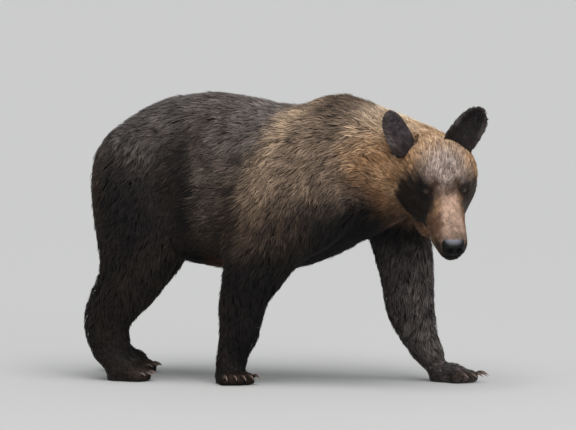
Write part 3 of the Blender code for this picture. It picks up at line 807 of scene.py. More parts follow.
# ---------------------------------------------------------------- sinking and shaping the skin
def toe_clefts(points):
    """How deep the skin sinks between the toes: greatest where two toe lines are equally near."""
    depth = np.zeros(len(points))
    for paw in PAWS:
        kind, side = paw.split("paw_")
        way = paw_heading(paw)
        gaps = []
        for toe in range(1, 6):
            low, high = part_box(f"claw_{kind}_{side}_{toe}")
            middle = np.array((low + high) / 2)
            away = points - middle
            along = np.clip(away @ way, -0.09, 0.02)
            gaps.append(np.linalg.norm((away - along[:, None] * way) * (1, 1, 0.5), axis=1))
        gaps = np.sort(np.array(gaps), axis=0)
        between = np.exp(-((gaps[1] - gaps[0]) / 0.0070) ** 2)
        ahead = (points - np.array(centre_of(paw))) @ way
        reach = ease(0.000, 0.030, ahead) * (gaps[0] < 0.05)
        depth += CLEFT * between * reach * ease(0.002, 0.010, points[:, 2])
    return depth


def pad_reach(place):
    """How far places in the head's frame lie from the middle of the nose pad; its outline is 1."""
    rise = (place[:, 2] - NOSE_MIDDLE) / NOSE_TALL
    across = place[:, 1] / (NOSE_HALF * (1.0 + PAD_NARROWS * np.clip(rise, -1.0, 0.0)))
    return (np.abs(across) ** PAD_POWER + np.abs(rise) ** PAD_POWER) ** (1 / PAD_POWER)


def on_pad(place, reach):
    """Whether places in the head's frame lie over the nose pad, its outline grown to reach."""
    return (pad_reach(place) < reach) & (place[:, 0] > NOSE_LOW[0] - 0.002)


def shape_face(points, normals):
    """Sinks the eye sockets, the mouth's line and the seat of the nose pad."""
    place = into_head(points)
    shift = np.zeros(len(points))
    for side in SIDES:
        gap = np.linalg.norm(place - EYES[side], axis=1)
        shift -= 0.0020 * np.exp(-((gap - 0.010) / 0.010) ** 2) * (place[:, 0] > -0.05)
    shift -= 0.0200 * on_pad(place, 0.93) * ease(0.0, 0.010, place[:, 0] - NOSE_LOW[0])
    reach = ease(0.010, 0.040, place[:, 0]) * ease(0.200, 0.185, place[:, 0])
    mouth = NOSE_LOW[2] - 0.006 + 0.10 * np.maximum(place[:, 0] - 0.14, 0.0)
    shift -= 0.0030 * np.exp(-((place[:, 2] - mouth) / 0.0028) ** 2) * reach
    shift += 0.0012 * np.exp(-((place[:, 2] - mouth + 0.006) / 0.0035) ** 2) * reach
    return points + normals * shift[:, None]


def sunk_skin(skin):
    """Sinks the skin by the coat's depth, soles excepted, and shapes the face and the toes."""
    points, normals, edges = read_points(skin.data), read_normals(skin.data), read_edges(skin.data)
    weights = region_weights(points)
    measures = coat_measures(points, weights)
    measures = relaxed(measures, edges, 10)
    sole = ease(-0.4, -0.8, normals[:, 2]) * ease(0.02, 0.008, points[:, 2])
    depth = measures[:, DEPTH] * (1.0 - sole)
    x, _, z = points.T
    fold = np.exp(-((x - fold_line(z)) / 0.022) ** 2) * ease(0.46, 0.56, z) * ease(0.84, 0.74, z)
    eye_gap = np.minimum(*[np.linalg.norm(into_head(points) - EYES[side], axis=1) for side in SIDES])
    depth = depth * (1.0 - 0.6 * np.exp(-((eye_gap / 0.026) ** 2)))
    depth = depth + 0.010 * fold * ease(0.3, 0.7, np.abs(normals[:, 1]))
    smooth = unit(relaxed(normals, edges, 4))
    sunk = points - smooth * (depth + toe_clefts(points))[:, None]
    held = in_face(points) | in_paws(points)
    sunk = relaxed(sunk, edges, 6, share=np.where(held, 0.0, 0.5))
    sunk = relaxed(sunk, edges, 2, share=np.where(in_face(points), 0.3, 0.0))
    write_points(skin.data, sunk)
    sunk = shape_face(sunk, read_normals(skin.data))
    sunk[:, 2] = np.maximum(sunk[:, 2], 0.0)
    write_points(skin.data, sunk)
    return weights, measures


# ---------------------------------------------------------------- tufts
def tuft_faces(rings):
    """Triangles of one tuft: a root point, rings of three points, and a tip, so it is closed."""
    tip = 3 * rings + 1
    sides = ((0, 1), (1, 2), (2, 0))
    faces = [(0, i + 1, j + 1) for i, j in sides]
    for a in range(1, tip - 3, 3):
        for i, j in sides:
            faces += [(a + i, a + i + 3, a + j + 3), (a + i, a + j + 3, a + j)]
    return np.array(faces + [(tip - 3 + i, tip, tip - 3 + j) for i, j in sides])


def triangles_of(mesh):
    """Corner points and loops of every triangle."""
    mesh.calc_loop_triangles()
    count = len(mesh.loop_triangles)
    corners, loops = np.empty(3 * count, np.int32), np.empty(3 * count, np.int32)
    mesh.loop_triangles.foreach_get("vertices", corners)
    mesh.loop_triangles.foreach_get("loops", loops)
    return corners.reshape(-1, 3), loops.reshape(-1, 3)


def sown(points, corners, spacing, draw):
    """Roots scattered over triangles: each gets its area over spacing squared, the remainder being
    carried on to the next, and a root's place in its triangle is even by area."""
    a, b, c = (points[corners[:, k]] for k in range(3))
    area = np.linalg.norm(np.cross(b - a, c - a), axis=1) / 2
    wanted = np.cumsum(area / spacing[corners].mean(axis=1) ** 2) + draw.random()
    count = np.diff(np.floor(np.concatenate([[0.0], wanted]))).astype(int)
    triangle = np.repeat(np.arange(len(corners)), count)
    s, t = np.sqrt(draw.random(len(triangle))), draw.random(len(triangle))
    return triangle, np.column_stack([1.0 - s, s * (1.0 - t), s * t])


def carried(values, corners, triangle, shares):
    """A value given at the points, blended at the roots by their shares of the corners."""
    return np.einsum("ij,ij...->i...", shares, values[corners[triangle]])


def unwrapped(mesh):
    """The skin piece's own shape laid flat, as one map place for every loop."""
    sheet = bpy.data.objects.new("sheet", mesh)
    bpy.context.scene.collection.objects.link(sheet)
    bpy.ops.object.select_all(action="DESELECT")
    sheet.select_set(True)
    bpy.context.view_layer.objects.active = sheet
    bpy.ops.object.mode_set(mode="EDIT")
    bpy.ops.mesh.select_all(action="SELECT")
    bpy.ops.uv.smart_project(angle_limit=radians(70.0), island_margin=0.006)
    bpy.ops.object.mode_set(mode="OBJECT")
    places = np.empty(2 * len(mesh.loops), np.float32)
    mesh.uv_layers.active.data.foreach_get("uv", places)
    bpy.data.objects.remove(sheet)
    return places.reshape(-1, 2).astype(float)


def part_of_skin(skin, chosen):
    """A mesh of the chosen faces, and the skin's number for each of its points."""
    bm = bmesh.new()
    bm.from_mesh(skin.data)
    number = bm.verts.layers.int.new("number")
    for vertex in bm.verts:
        vertex[number] = vertex.index
    bm.faces.ensure_lookup_table()
    bmesh.ops.delete(bm, geom=[bm.faces[i] for i in np.flatnonzero(~chosen)], context="FACES")
    mesh = bpy.data.meshes.new("sheet")
    bm.to_mesh(mesh)
    bm.free()
    numbers = np.empty(len(mesh.vertices), np.int32)
    mesh.attributes["number"].data.foreach_get("value", numbers)
    return mesh, numbers


def turned(ways, normals, angle):
    """Each direction turned about its normal."""
    return ways * np.cos(angle)[:, None] + np.cross(normals, ways) * np.sin(angle)[:, None]


def laid(skin, root, normal, way, measures, rings, draw):
    """The places, normals and directions along each tuft, root first.  Every step goes on along the
    lie, is brought back to the skin, and is raised by a share of the coat's depth.  The direction
    swings one way and then the other, and the tips of one lock lean towards the lock's centre."""
    count = len(root)
    length = measures[:, LENGTH] * draw.uniform(0.70, 1.25, count)
    depth, wave = measures[:, DEPTH], measures[:, WAVE]
    angle = 1.5 * mottle(root, 0.060, 11) + 1.0 * mottle(root, 0.020, 12) + draw.normal(0, 0.42, count)
    way = unit(turned(way, normal, wave * angle))
    long_hair = (length > 0.030)[:, None]
    lock = np.where(long_hair, lock_centres(root, LOCK_SIZE, 21), lock_centres(root, SMALL_LOCK, 22))
    full = draw.uniform(0.80, 1.02, count) + 0.10 * mottle(root, 0.022, 13)
    stray = draw.random(count) < STRAYS
    full = np.where(stray, full + 0.22, full)
    curl = 1.3 * mottle(root, 0.030, 14) + draw.normal(0, 0.35, count) * np.where(stray, 3.0, 1.0)
    rises = (0.50, 0.84, 1.0) if rings == 2 else (0.72, 1.0)
    path, normals, ways = [root - normal * ROOTED], [normal], [way]
    place = root
    for step, rise in enumerate(rises):
        place = place + ways[-1] * (length / len(rises))[:, None]
        pull = lock + (place - root) - place
        pull = pull - normals[-1] * (pull * normals[-1]).sum(axis=1, keepdims=True)
        place = place + pull * (0.34 * rise * ease(0.006, 0.030, length))[:, None]
        place, up = nearest_on(skin, place)
        bent = turned(ways[-1], up, wave * curl * (-1.0) ** step)
        ways.append(unit(bent - up * (bent * up).sum(axis=1, keepdims=True)))
        normals.append(up)
        path.append(place + up * (rise * full * depth + LIFTED)[:, None])
    lock_shade = 2.0 * scattered(np.round(500.0 * lock), 31) - 1.0
    return (path, normals, ways), lock_shade


def tuft_solids(path, normals, ways, width):
    """Points and shading normals of tapering solids along the paths: each ring is a low triangle,
    flat side to the skin, and every point is shaded half as the skin under it."""
    rings = len(path) - 2
    count = len(width)
    points = np.empty((count, 3 * rings + 2, 3))
    shading = np.empty_like(points)
    points[:, 0], shading[:, 0] = path[0], normals[0]
    points[:, -1], shading[:, -1] = path[-1], normals[-1]
    for ring in range(1, rings + 1):
        swell = 1.0 if ring == 1 else SECOND_RING
        side = unit(np.cross(ways[ring], normals[ring]))
        across = side * (0.5 * swell * width)[:, None]
        up = normals[ring] * (TUFT_HIGH * swell * width)[:, None]
        first = 3 * ring - 2
        for k, (offset, lean) in enumerate(((across, side), (up, 0.0 * side), (-across, -side))):
            points[:, first + k] = path[ring] + offset
            shading[:, first + k] = unit(0.80 * normals[ring] + 0.60 * lean)
    low, high = np.array(cad_box[0]) + INSIDE, np.array(cad_box[1]) - INSIDE
    low[2] = FLOOR_CLEAR
    return np.clip(points, low, high), shading


def map_spots(rings):
    """Where a tuft's points lie on its patch of the map: root below, tip above, rings between."""
    rows = [(0.0, -0.5)]
    for ring in range(1, rings + 1):
        height = ring / (rings + 1) - 0.5
        rows += [(-0.5, height), (0.0, height), (0.5, height)]
    return np.array(rows + [(0.0, 0.5)]) * PATCH


def tuft_colours(root, tip, lock_shade, rings, draw):
    """Dark at the root and the tip's colour towards the end, with a shade for every lock and tuft."""
    count = len(root)
    own = np.exp(0.30 * lock_shade + draw.normal(0.0, 0.17, count))[:, None]
    pale = np.clip(draw.normal(0.74, 0.30, count) + 0.12 * lock_shade, 0.0, 1.15)
    shares = (0.0, 0.25, 0.60, 0.90) if rings == 2 else (0.12, 0.62, 1.0)
    colours = np.empty((count, 3 * rings + 2, 3))
    for k in range(3 * rings + 2):
        share = shares[(k + 2) // 3]
        colours[:, k] = mix((0.6 + 0.4 * share) * root, tip, share * pale) * own
    return np.clip(colours, 0.0, 0.9)


# ---------------------------------------------------------------- materials
class Value:
    """A socket that can be reckoned with: each operator adds the Math node that does it."""

    def __init__(self, nodes, socket):
        self.nodes, self.socket = nodes, socket

    def reckon(self, operation, first, second):
        """The Math node of that operation on the two, each a number or a Value."""
        return self.nodes.add("ShaderNodeMath", {"operation": operation}, {0: first, 1: second})

    def __add__(self, other):
        return self.reckon("ADD", self, other)

    def __radd__(self, other):
        return self.reckon("ADD", other, self)

    def __sub__(self, other):
        return self.reckon("SUBTRACT", self, other)

    def __rsub__(self, other):
        return self.reckon("SUBTRACT", other, self)

    def __mul__(self, other):
        return self.reckon("MULTIPLY", self, other)

    def __rmul__(self, other):
        return self.reckon("MULTIPLY", other, self)


class Finish:
    """A material and the one way of adding nodes to it."""

    def __init__(self, name, **sockets):
        self.material = bpy.data.materials.new(name)
        self.material.use_nodes = True
        self.tree = self.material.node_tree
        self.shader = self.tree.nodes["Principled BSDF"]
        for socket, value in sockets.items():
            self.shader.inputs[socket.replace("_", " ")].default_value = value

    def add(self, kind, settings=None, inputs=None, output=0):
        """A node of that kind, its settings made first, then its sockets given values or links."""
        node = self.tree.nodes.new(kind)
        for key, value in (settings or {}).items():
            if key == "stops":
                elements = node.color_ramp.elements
                while len(elements) < len(value):
                    elements.new(1.0)
                for stop, (place, colour) in zip(elements, value):
                    stop.position, stop.color = place, (*colour, 1.0)
            else:
                setattr(node, key, value)
        for key, value in (inputs or {}).items():
            self.feed(node.inputs[key], value)
        return Value(self, node.outputs[output])

    def feed(self, socket, value):
        """Links a Value to the socket, or sets it to a number, a colour or a vector."""
        if isinstance(value, Value):
            self.tree.links.new(value.socket, socket)
        else:
            socket.default_value = value

    def shade(self, **sockets):
        """Feeds the shader's sockets, named with underscores for spaces, and gives the material."""
        for name, value in sockets.items():
            self.feed(self.shader.inputs[name.replace("_", " ")], value)
        return self.material

    def own_place(self):
        """The piece's own coordinates."""
        return self.add("ShaderNodeTexCoord", output="Object")

    def noise(self, scale, detail=3.0, rough=0.55, place=None):
        """Fractal noise, scale cells to the metre."""
        place = place or self.own_place()
        return self.add("ShaderNodeTexNoise", {}, {"Vector": place, "Scale": scale, "Detail": detail,
                                                    "Roughness": rough}, "Fac")

    def relief(self, height, strength, distance):
        """The normal tilted by a height."""
        sockets = {"Height": height, "Strength": strength, "Distance": distance}
        return self.add("ShaderNodeBump", {}, sockets, "Normal")

    def tinted(self, colour, factor):
        """A colour multiplied by a grey."""
        grey = self.add("ShaderNodeCombineColor", {}, {0: factor, 1: factor, 2: factor}, "Color")
        return self.add("ShaderNodeMix", {"data_type": "RGBA", "blend_type": "MULTIPLY"},
                        {0: 1.0, 6: colour, 7: grey}, 2)


def coat_finish():
    """Hair: the tuft's own colour, hardly varied along it, matt with a faint sheen."""
    finish = Finish("coat", Specular_IOR_Level=0.20, Sheen_Weight=0.03, Sheen_Roughness=0.5)
    colour = finish.add("ShaderNodeAttribute", {"attribute_name": "coat"}, {}, "Color")
    grain = finish.noise(420.0, 2.0)
    return finish.shade(Base_Color=finish.tinted(colour, 0.80 + 0.40 * grain),
                        Roughness=0.62 + 0.16 * grain)


def skin_finish():
    """Skin and the flattest hair on it: fine streaks that run back from the nose."""
    finish = Finish("skin", Specular_IOR_Level=0.25)
    colour = finish.add("ShaderNodeAttribute", {"attribute_name": "coat"}, {}, "Color")
    turn = HEAD_FRAME.to_3x3().inverted().to_euler()
    place = finish.add("ShaderNodeMapping", {"vector_type": "POINT"},
                       {"Vector": finish.own_place(), "Rotation": turn, "Scale": (0.22, 1.0, 1.0)})
    streak = finish.noise(620.0, 3.0, 0.6, place)
    blotch = finish.noise(70.0, 3.0)
    colour = finish.tinted(colour, 0.72 + 0.36 * streak + 0.20 * blotch)
    normal = finish.relief(streak, 0.5, 0.0012)
    return finish.shade(Base_Color=colour, Roughness=0.66 + 0.14 * streak, Normal=normal)


def nose_finish():
    """Damp pebbled leather, paler along its top as a painted sky reflection."""
    finish = Finish("nose_leather", Specular_IOR_Level=0.14)
    colour = finish.add("ShaderNodeAttribute", {"attribute_name": "coat"}, {}, "Color")
    sockets = {"Vector": finish.own_place(), "Scale": 620.0}
    pebble = finish.add("ShaderNodeTexVoronoi", {}, sockets, "Distance")
    blotch = finish.noise(120.0)
    return finish.shade(Base_Color=finish.tinted(colour, 0.75 + 0.5 * blotch),
                        Roughness=0.36 + 0.20 * blotch, Normal=finish.relief(pebble, 0.35, 0.0006))


def eye_finish():
    """Pupil, brown iris and dark rim, ringed round the eye's own axis."""
    finish = Finish("eye", Specular_IOR_Level=0.25, Coat_Roughness=0.05, Coat_Weight=0.40)
    out = finish.add("ShaderNodeAttribute", {"attribute_name": "gaze"}, {}, "Fac")
    fibre = finish.noise(900.0, 2.0)
    ring = out + 0.05 * fibre - 0.025
    stops = [(0.0, (0.002, 0.002, 0.002)), (0.20, (0.003, 0.002, 0.002)), (0.28, (0.046, 0.021, 0.010)),
             (0.60, (0.074, 0.036, 0.017)), (0.72, (0.008, 0.005, 0.004)), (1.0, (0.020, 0.014, 0.012))]
    colour = finish.add("ShaderNodeValToRGB", {"stops": stops}, {"Fac": ring}, "Color")
    return finish.shade(Base_Color=colour, Roughness=0.22 + 0.08 * fibre)


def claw_finish():
    """Horn: brown, streaked along its length, paler to the tip."""
    finish = Finish("claw_horn", Specular_IOR_Level=0.5)
    along = finish.add("ShaderNodeAttribute", {"attribute_name": "along"}, {}, "Fac")
    streak = finish.noise(900.0, 3.0)
    stops = [(0.18, (0.022, 0.015, 0.012)), (0.50, (0.065, 0.042, 0.032)), (0.82, (0.205, 0.138, 0.110)),
             (1.0, (0.340, 0.262, 0.225))]
    place = along + 0.10 * streak - 0.05
    colour = finish.add("ShaderNodeValToRGB", {"stops": stops}, {"Fac": place}, "Color")
    return finish.shade(Base_Color=finish.tinted(colour, 0.75 + 0.5 * streak),
                        Roughness=0.30 + 0.25 * streak, Normal=finish.relief(streak, 0.25, 0.0004))


# ---------------------------------------------------------------- eyes and lids
def grid_faces(rows, columns, closed=True):
    """Quads of a grid of points, row by row; closed grids join the last column to the first."""
    across = columns if closed else columns - 1
    i, j = np.meshgrid(np.arange(rows - 1), np.arange(across), indexing="ij")
    k = (j + 1) % columns
    return np.stack([i * columns + j, i * columns + k, (i + 1) * columns + k, (i + 1) * columns + j],
                    axis=-1).reshape(-1, 4)


def closed_grid(name, points, rows, columns):
    """A piece from a grid whose last column meets its first, both ends closed, facing outward."""
    obj = mesh_piece(name, points, grid_faces(rows, columns))
    bm = bmesh.new()
    bm.from_mesh(obj.data)
    bmesh.ops.holes_fill(bm, edges=bm.edges, sides=0)
    bmesh.ops.recalc_face_normals(bm, faces=bm.faces)
    bm.to_mesh(obj.data)
    bm.free()
    return obj


def eye_axes(out):
    """Columns in the head's frame: across the eye, up, and out along the given direction."""
    across = np.cross((0.0, 0.0, 1.0), out)
    across /= np.linalg.norm(across)
    return np.column_stack([across, np.cross(out, across), out])


def eyeball(side):
    """A ball whose rings run round the gaze; gaze is the angle off it over a right angle."""
    rows, columns = 28, 40
    angle = np.linspace(0.004, pi - 0.004, rows)[:, None]
    around = np.linspace(0, 2 * pi, columns, endpoint=False)[None]
    cornea = 1.0 + 0.035 * np.exp(-(angle / 0.45) ** 2)
    ball = np.stack([np.sin(angle) * np.cos(around), np.sin(angle) * np.sin(around),
                     np.cos(angle) * cornea + 0 * around], axis=-1).reshape(-1, 3)
    gaze = 0.5 * EYE_WAYS[side] + 0.5 * (np.array(LOOKS_TO) @ HEAD_AXES)
    points = ball * EYE_RADIUS @ eye_axes(gaze / np.linalg.norm(gaze)).T + EYES[side]
    eye = closed_grid(f"eyeball_{side}", out_of_head(points), rows, columns)
    set_values(eye.data, "gaze", np.repeat(angle[:, 0] / (pi / 2), columns))
    eye.data.materials.append(eye_finish_made)
    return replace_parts(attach(eye, "root"), f"eye_{side}")


def lids(side, skin):
    """A ring from the eye's almond opening out to the skin: its inner edge lies on the ball, its
    outer edge just under the skin, and between them it swells into a rim, a crease and a fold.
    No point of it may be nearer to the ball's middle than the ball's radius and the lid's depth."""
    rows, columns = 18, 80
    around = np.linspace(0, 2 * pi, columns, endpoint=False)
    half_width, above, below = (share * EYE_RADIUS for share in OPENING)
    pinch = np.abs(np.sin(around)) ** 1.2 * np.sign(np.sin(around))
    inner = np.column_stack([half_width * np.cos(around), np.where(pinch > 0, above, below) * pinch])
    outer = np.column_stack([LIDS_REACH[0] * np.cos(around), LIDS_REACH[1] * np.sin(around)])
    axes, centre = eye_axes(EYE_WAYS[side]), EYES[side]
    steps = np.linspace(0.0, 1.0, rows)[:, None, None]
    flat = inner * (1.0 - steps**1.15) + outer * steps**1.15
    gap = np.minimum((flat**2).sum(axis=2, keepdims=True), (0.97 * EYE_RADIUS) ** 2)
    ball = np.concatenate([flat, np.sqrt(EYE_RADIUS**2 - gap)], axis=2) @ axes.T + centre
    skin_place, skin_up = nearest_on(skin, out_of_head(ball.reshape(-1, 3)))
    under = into_head(skin_place - 0.0014 * skin_up).reshape(ball.shape)
    share = steps * steps * (3.0 - 2.0 * steps)
    place = ball * (1.0 - share) + under * share
    swell = 0.0017 * np.exp(-((steps - 0.12) / 0.09) ** 2)             # the rim
    swell = swell - 0.0005 * np.exp(-((steps - 0.36) / 0.08) ** 2)     # the crease
    swell = swell + 0.0010 * np.exp(-((steps - 0.58) / 0.14) ** 2)     # the fold
    place = place + EYE_WAYS[side] * swell * (1.0 - steps)
    away = np.linalg.norm(place - centre, axis=2, keepdims=True)
    least = EYE_RADIUS + 0.0004 + 0.0011 * ease(0.0, 0.15, steps)
    place = centre + (place - centre) * np.maximum(1.0, least * (1.0 - ease(0.75, 1.0, steps)) / away)
    return out_of_head(place.reshape(-1, 3)), grid_faces(rows, columns)


def join_to(skin, other):
    """Puts the other object's mesh into the skin's."""
    bm = bmesh.new()
    bm.from_mesh(skin.data)
    bm.from_mesh(other.data)
    bm.to_mesh(skin.data)
    bm.free()
    bpy.data.objects.remove(other)


def close_lids(skin):
    """Joins the lids to the skin's mesh."""
    for side in SIDES:
        points, faces = lids(side, skin)
        ring = mesh_piece(f"lids_{side}", points, faces)
        out = read_normals(ring.data) @ (HEAD_AXES @ EYE_WAYS[side])
        if out.mean() < 0.0:
            ring.data.flip_normals()
        set_colours(ring.data, np.tile(mix(SOOT, UMBER, 0.35), (len(points), 1)))
        join_to(skin, ring)


# ---------------------------------------------------------------- nose
def nose_pad():
    """A squared pad across the end of the muzzle.  Its rings spread from the middle of the front to
    the rim, whose depth falls as the root of one less a fifth power, and then tuck back under it.
    Two comma-shaped nostrils and the groove between them are sunk by sums of bells."""
    rows, columns = 90, 112
    ring = np.linspace(0.0, 1.0, rows)[:, None]
    around = np.linspace(0, 2 * pi, columns, endpoint=False)[None]
    spread = np.clip(ring / PAD_RIM, 0.01, 1.0)
    tuck = np.clip((ring - PAD_RIM) / 0.14, 0.0, 1.0)
    lean = np.arccos(spread**2.5) / (pi / 2)
    power = 2 / PAD_POWER
    across = np.sign(np.cos(around)) * np.abs(np.cos(around)) ** power
    rise = np.sign(np.sin(around)) * np.abs(np.sin(around)) ** power
    side = 0.97 * NOSE_HALF * spread * across * (1.0 + PAD_NARROWS * np.minimum(spread * rise, 0.0))
    height = NOSE_MIDDLE + 0.003 - 0.006 * lean + 0.93 * NOSE_TALL * spread * rise
    deep = NOSE_HIGH[0] - NOSE_LOW[0] - 0.0015
    forward = NOSE_LOW[0] + deep * np.sqrt(1.0 - np.minimum(spread, 0.9999) ** 5) - 0.012 * tuck
    place = np.stack([forward + 0 * side, side, height], axis=-1).reshape(-1, 3)
    low = place[:, 2] - NOSE_MIDDLE
    out = np.abs(place[:, 1])
    hole = ((out - 0.0155) / 0.0094) ** 2 + ((low - 0.001 + 0.25 * (out - 0.0155)) / 0.0090) ** 2
    slit = ((out - 0.0280) / 0.0100) ** 2 + ((low + 0.005 - 0.40 * (out - 0.028)) / 0.0032) ** 2
    sink = 0.0130 * np.exp(-hole**1.5) + 0.0060 * np.exp(-slit)
    sink -= 0.0012 * np.exp(-((np.sqrt(hole) - 1.6) / 0.35) ** 2)
    groove = np.exp(-(place[:, 1] / 0.0013) ** 2) * ease(0.012, -0.002, low)
    sink += 0.0024 * groove
    fore = (1.0 - np.repeat(tuck[:, 0], columns)) * ease(0.0, 0.010, place[:, 0] - NOSE_LOW[0])
    place[:, 0] -= sink * fore
    place[:, 1] *= 1.0 - 0.10 * fore * np.exp(-hole**1.5)
    # the top is painted pale and bluish as a reflection of the sky
    top = ease(0.66, 1.02, low / NOSE_TALL)
    colour = mix(np.tile(tone(15, 14, 14), (len(place), 1)), tone(116, 116, 124), top)
    # the deeper the nostrils and the groove sink, the darker: painted shade
    colour = mix(colour, tone(6, 5, 5), np.clip(sink / 0.0065, 0.0, 1.0))
    pad = closed_grid("nose_pad", out_of_head(place), rows, columns)
    set_colours(pad.data, colour)
    pad.data.materials.append(nose_finish())
    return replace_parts(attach(pad, "root"), "nose")


# ---------------------------------------------------------------- claws
def horn(node, paw):
    """A claw: rings along an arc from its root to its tip, deeper than wide, ridged on top, the
    radius falling as one minus a power of the way along."""
    rows, columns = 26, 20
    way = paw_heading(paw)
    points = node_points(node)
    along = points @ way
    root = points[along < along.min() + 0.004].mean(axis=0)
    tip = points[along > along.max() - 0.0008].mean(axis=0)
    reach = tip - root
    length = np.linalg.norm(reach)
    level = unit(np.array([[reach[0], reach[1], 0.0]]))[0]
    aside = np.array((-level[1], level[0], 0.0))
    t = np.linspace(CLAW_ROOT, 1.0, rows)[:, None]
    arch = CLAW_ARCH * length * 4.0 * np.clip(t, -0.3, 1) * (1.0 - np.clip(t, -0.3, 1))
    line = root + t * reach + arch * np.array((0.0, 0.0, 1.0))
    slope = unit(np.gradient(line, axis=0))
    lift = np.cross(slope, aside) * -1.0
    lift = unit(lift * np.sign(lift[:, 2:3] + 1e-9))
    radius = CLAW_RADIUS * (1.0 - CLAW_TAPER * np.clip(t, 0, 1) ** 1.7)
    around = np.linspace(0, 2 * pi, columns, endpoint=False)[None]
    across = np.cos(around) * (0.66 + 0.06 * np.sin(around))
    rise = np.sin(around) * np.where(np.sin(around) > 0, 1.0, 0.86)
    grid = line[:, None] + aside * (radius * across)[..., None] + lift[:, None] * (radius * rise)[..., None]
    claw = closed_grid("horn_" + node[5:], grid.reshape(-1, 3), rows, columns)
    set_values(claw.data, "along", np.repeat(np.clip(t[:, 0], 0, 1), columns))
    claw.data.materials.append(claw_finish_made)
    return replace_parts(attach(claw, "root"), node)


# ---------------------------------------------------------------- ears
def ear_skin(node):
    """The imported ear's own shape, divided and softened, thinner by the hair's depth, its front
    hollowed into a cup, and its root stretched into the head."""
    ear = merged_copy([node], "skin_" + node)
    soften = ear.modifiers.new("soften", "SUBSURF")
    soften.levels = soften.render_levels = 2
    settled(ear)
    points, normals = read_points(ear.data), read_normals(ear.data)
    points = points - normals * EAR[DEPTH]
    axis = ear_axis(node)
    height = points @ axis
    face = ear_face(points)
    across = (points - points.mean(axis=0)) @ np.cross(axis, face)
    cup = np.exp(-((across / 0.024) ** 2) - ((height - height.min() - 0.062) / 0.034) ** 2)
    points -= (0.0070 * cup * ease(0.2, 0.8, normals @ face))[:, None] * face
    root = ease(0.045, 0.0, height - height.min())
    points -= 0.022 * root[:, None] * axis
    write_points(ear.data, points)
    return ear


def ear_face(points):
    """The way that the ear's broad front looks: the thinnest way through it, out of the face."""
    face = np.linalg.svd(points - points.mean(axis=0), full_matrices=False)[2][2]
    return face * np.sign(face @ HEAD_AXES[:, 0])


def ear_axis(node):
    """From the ear's root in the head to its tip."""
    points = node_points(node)
    far = np.linalg.norm(into_head(points) - (-0.13, 0.0, -0.02), axis=1)
    return unit((points[far > np.quantile(far, 0.8)].mean(axis=0)
                 - points[far < np.quantile(far, 0.2)].mean(axis=0))[None])[0]


# ---------------------------------------------------------------- the coat's pieces
def tuft_layer(layer, surface, corners, map_corners, fields, draw):
    """Tufts sown on a sheet's triangles: locks of two rings for layer 0, fine hairs of one for layer 1.
    Gives their points, shading normals, triangles, colours and places on the map."""
    points, normals, ways, measures, root_colour, tip_colour, bare = fields
    rings = 2 - layer
    width, spacing = measures[:, WIDTH + 2 * layer], measures[:, SPACING + 2 * layer]
    triangle, shares = sown(points, corners, spacing, draw)
    keep = carried(bare, corners, triangle, shares) < 0.5
    triangle, shares = triangle[keep], shares[keep]

    def at_roots(values):
        """A value given at the skin's points, blended at the roots."""
        return carried(values, corners, triangle, shares)

    path, lock_shade = laid(surface, at_roots(points), unit(at_roots(normals)), unit(at_roots(ways)),
                            at_roots(measures), rings, draw)
    solid, shading = tuft_solids(*path, at_roots(width) * draw.uniform(0.70, 1.30, len(triangle)))
    count, size = solid.shape[:2]
    faces = np.arange(count)[:, None, None] * size + tuft_faces(rings)
    colours = tuft_colours(at_roots(root_colour), at_roots(tip_colour), lock_shade, rings, draw)
    spots = np.einsum("ij,ijk->ik", shares, map_corners[triangle])[:, None] + map_spots(rings)
    return [rows.reshape(-1, rows.shape[-1]) for rows in (solid, shading, faces, colours, spots)]


def coat_of(name, surface, sheet, numbers, fields, draw):
    """One piece of coat: locks underneath and fine hairs over them, sown on the sheet's faces."""
    corners, loops = triangles_of(sheet)
    map_corners = unwrapped(sheet)[loops]
    locks, hairs = (tuft_layer(layer, surface, numbers[corners], map_corners, fields, draw)
                    for layer in (0, 1))
    hairs[2] = hairs[2] + len(locks[0])             # the hairs' points are numbered after the locks'
    solids, shadings, faces, colours, spots = (np.concatenate(pair) for pair in zip(locks, hairs))
    coat = mesh_piece(name, solids, faces)
    coat.data.normals_split_custom_set_from_vertices(shadings)
    set_colours(coat.data, colours)
    layer = coat.data.uv_layers.new(name="OFBake")
    corner_of_loop = np.empty(len(coat.data.loops), np.int32)
    coat.data.loops.foreach_get("vertex_index", corner_of_loop)
    spots = np.clip(spots, 0.001, 0.999)
    layer.data.foreach_set("uv", spots[corner_of_loop].astype(np.float32).ravel())
    coat.data.materials.append(coat_finish_made)
    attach(coat, "root")
    print(name, len(solids), "points,", len(faces), "triangles")
    return coat


coat_finish_made = coat_finish()
eye_finish_made = eye_finish()
claw_finish_made = claw_finish()


def coat_labels(points, weights):
    """The name of the coat piece that each point belongs to: by the solid that rules there, the trunk
    in quarters, each leg whole, and the short-haired face apart from the rest of the head."""
    ruler = np.array(BODY)[weights.argmax(axis=1)]
    kinds = np.array([kind_of(node) for node in ruler])
    back = points[:, 0] < 0.0
    left = points[:, 1] > 0.0
    label = np.array([f"coat_{kind}" for kind in kinds], dtype="<U32")
    for fore, word in ((True, "front"), (False, "rear")):
        for far, side in ((True, "left"), (False, "right")):
            label[(kinds == "trunk") & (back != fore) & (left == far)] = f"coat_trunk_{word}_{side}"
    for leg, lower, paw in zip(UPPER_LEGS, LOWER_LEGS, PAWS):
        label[np.isin(ruler, (leg, lower, paw))] = "coat_" + leg.replace("_upper", "")
    on_head = np.isin(kinds, ("head", "lower_jaw"))
    label[on_head] = np.where(np.sum(face_shares(points), axis=0) > 0.5, "coat_face", "coat_crown")[on_head]
    return label


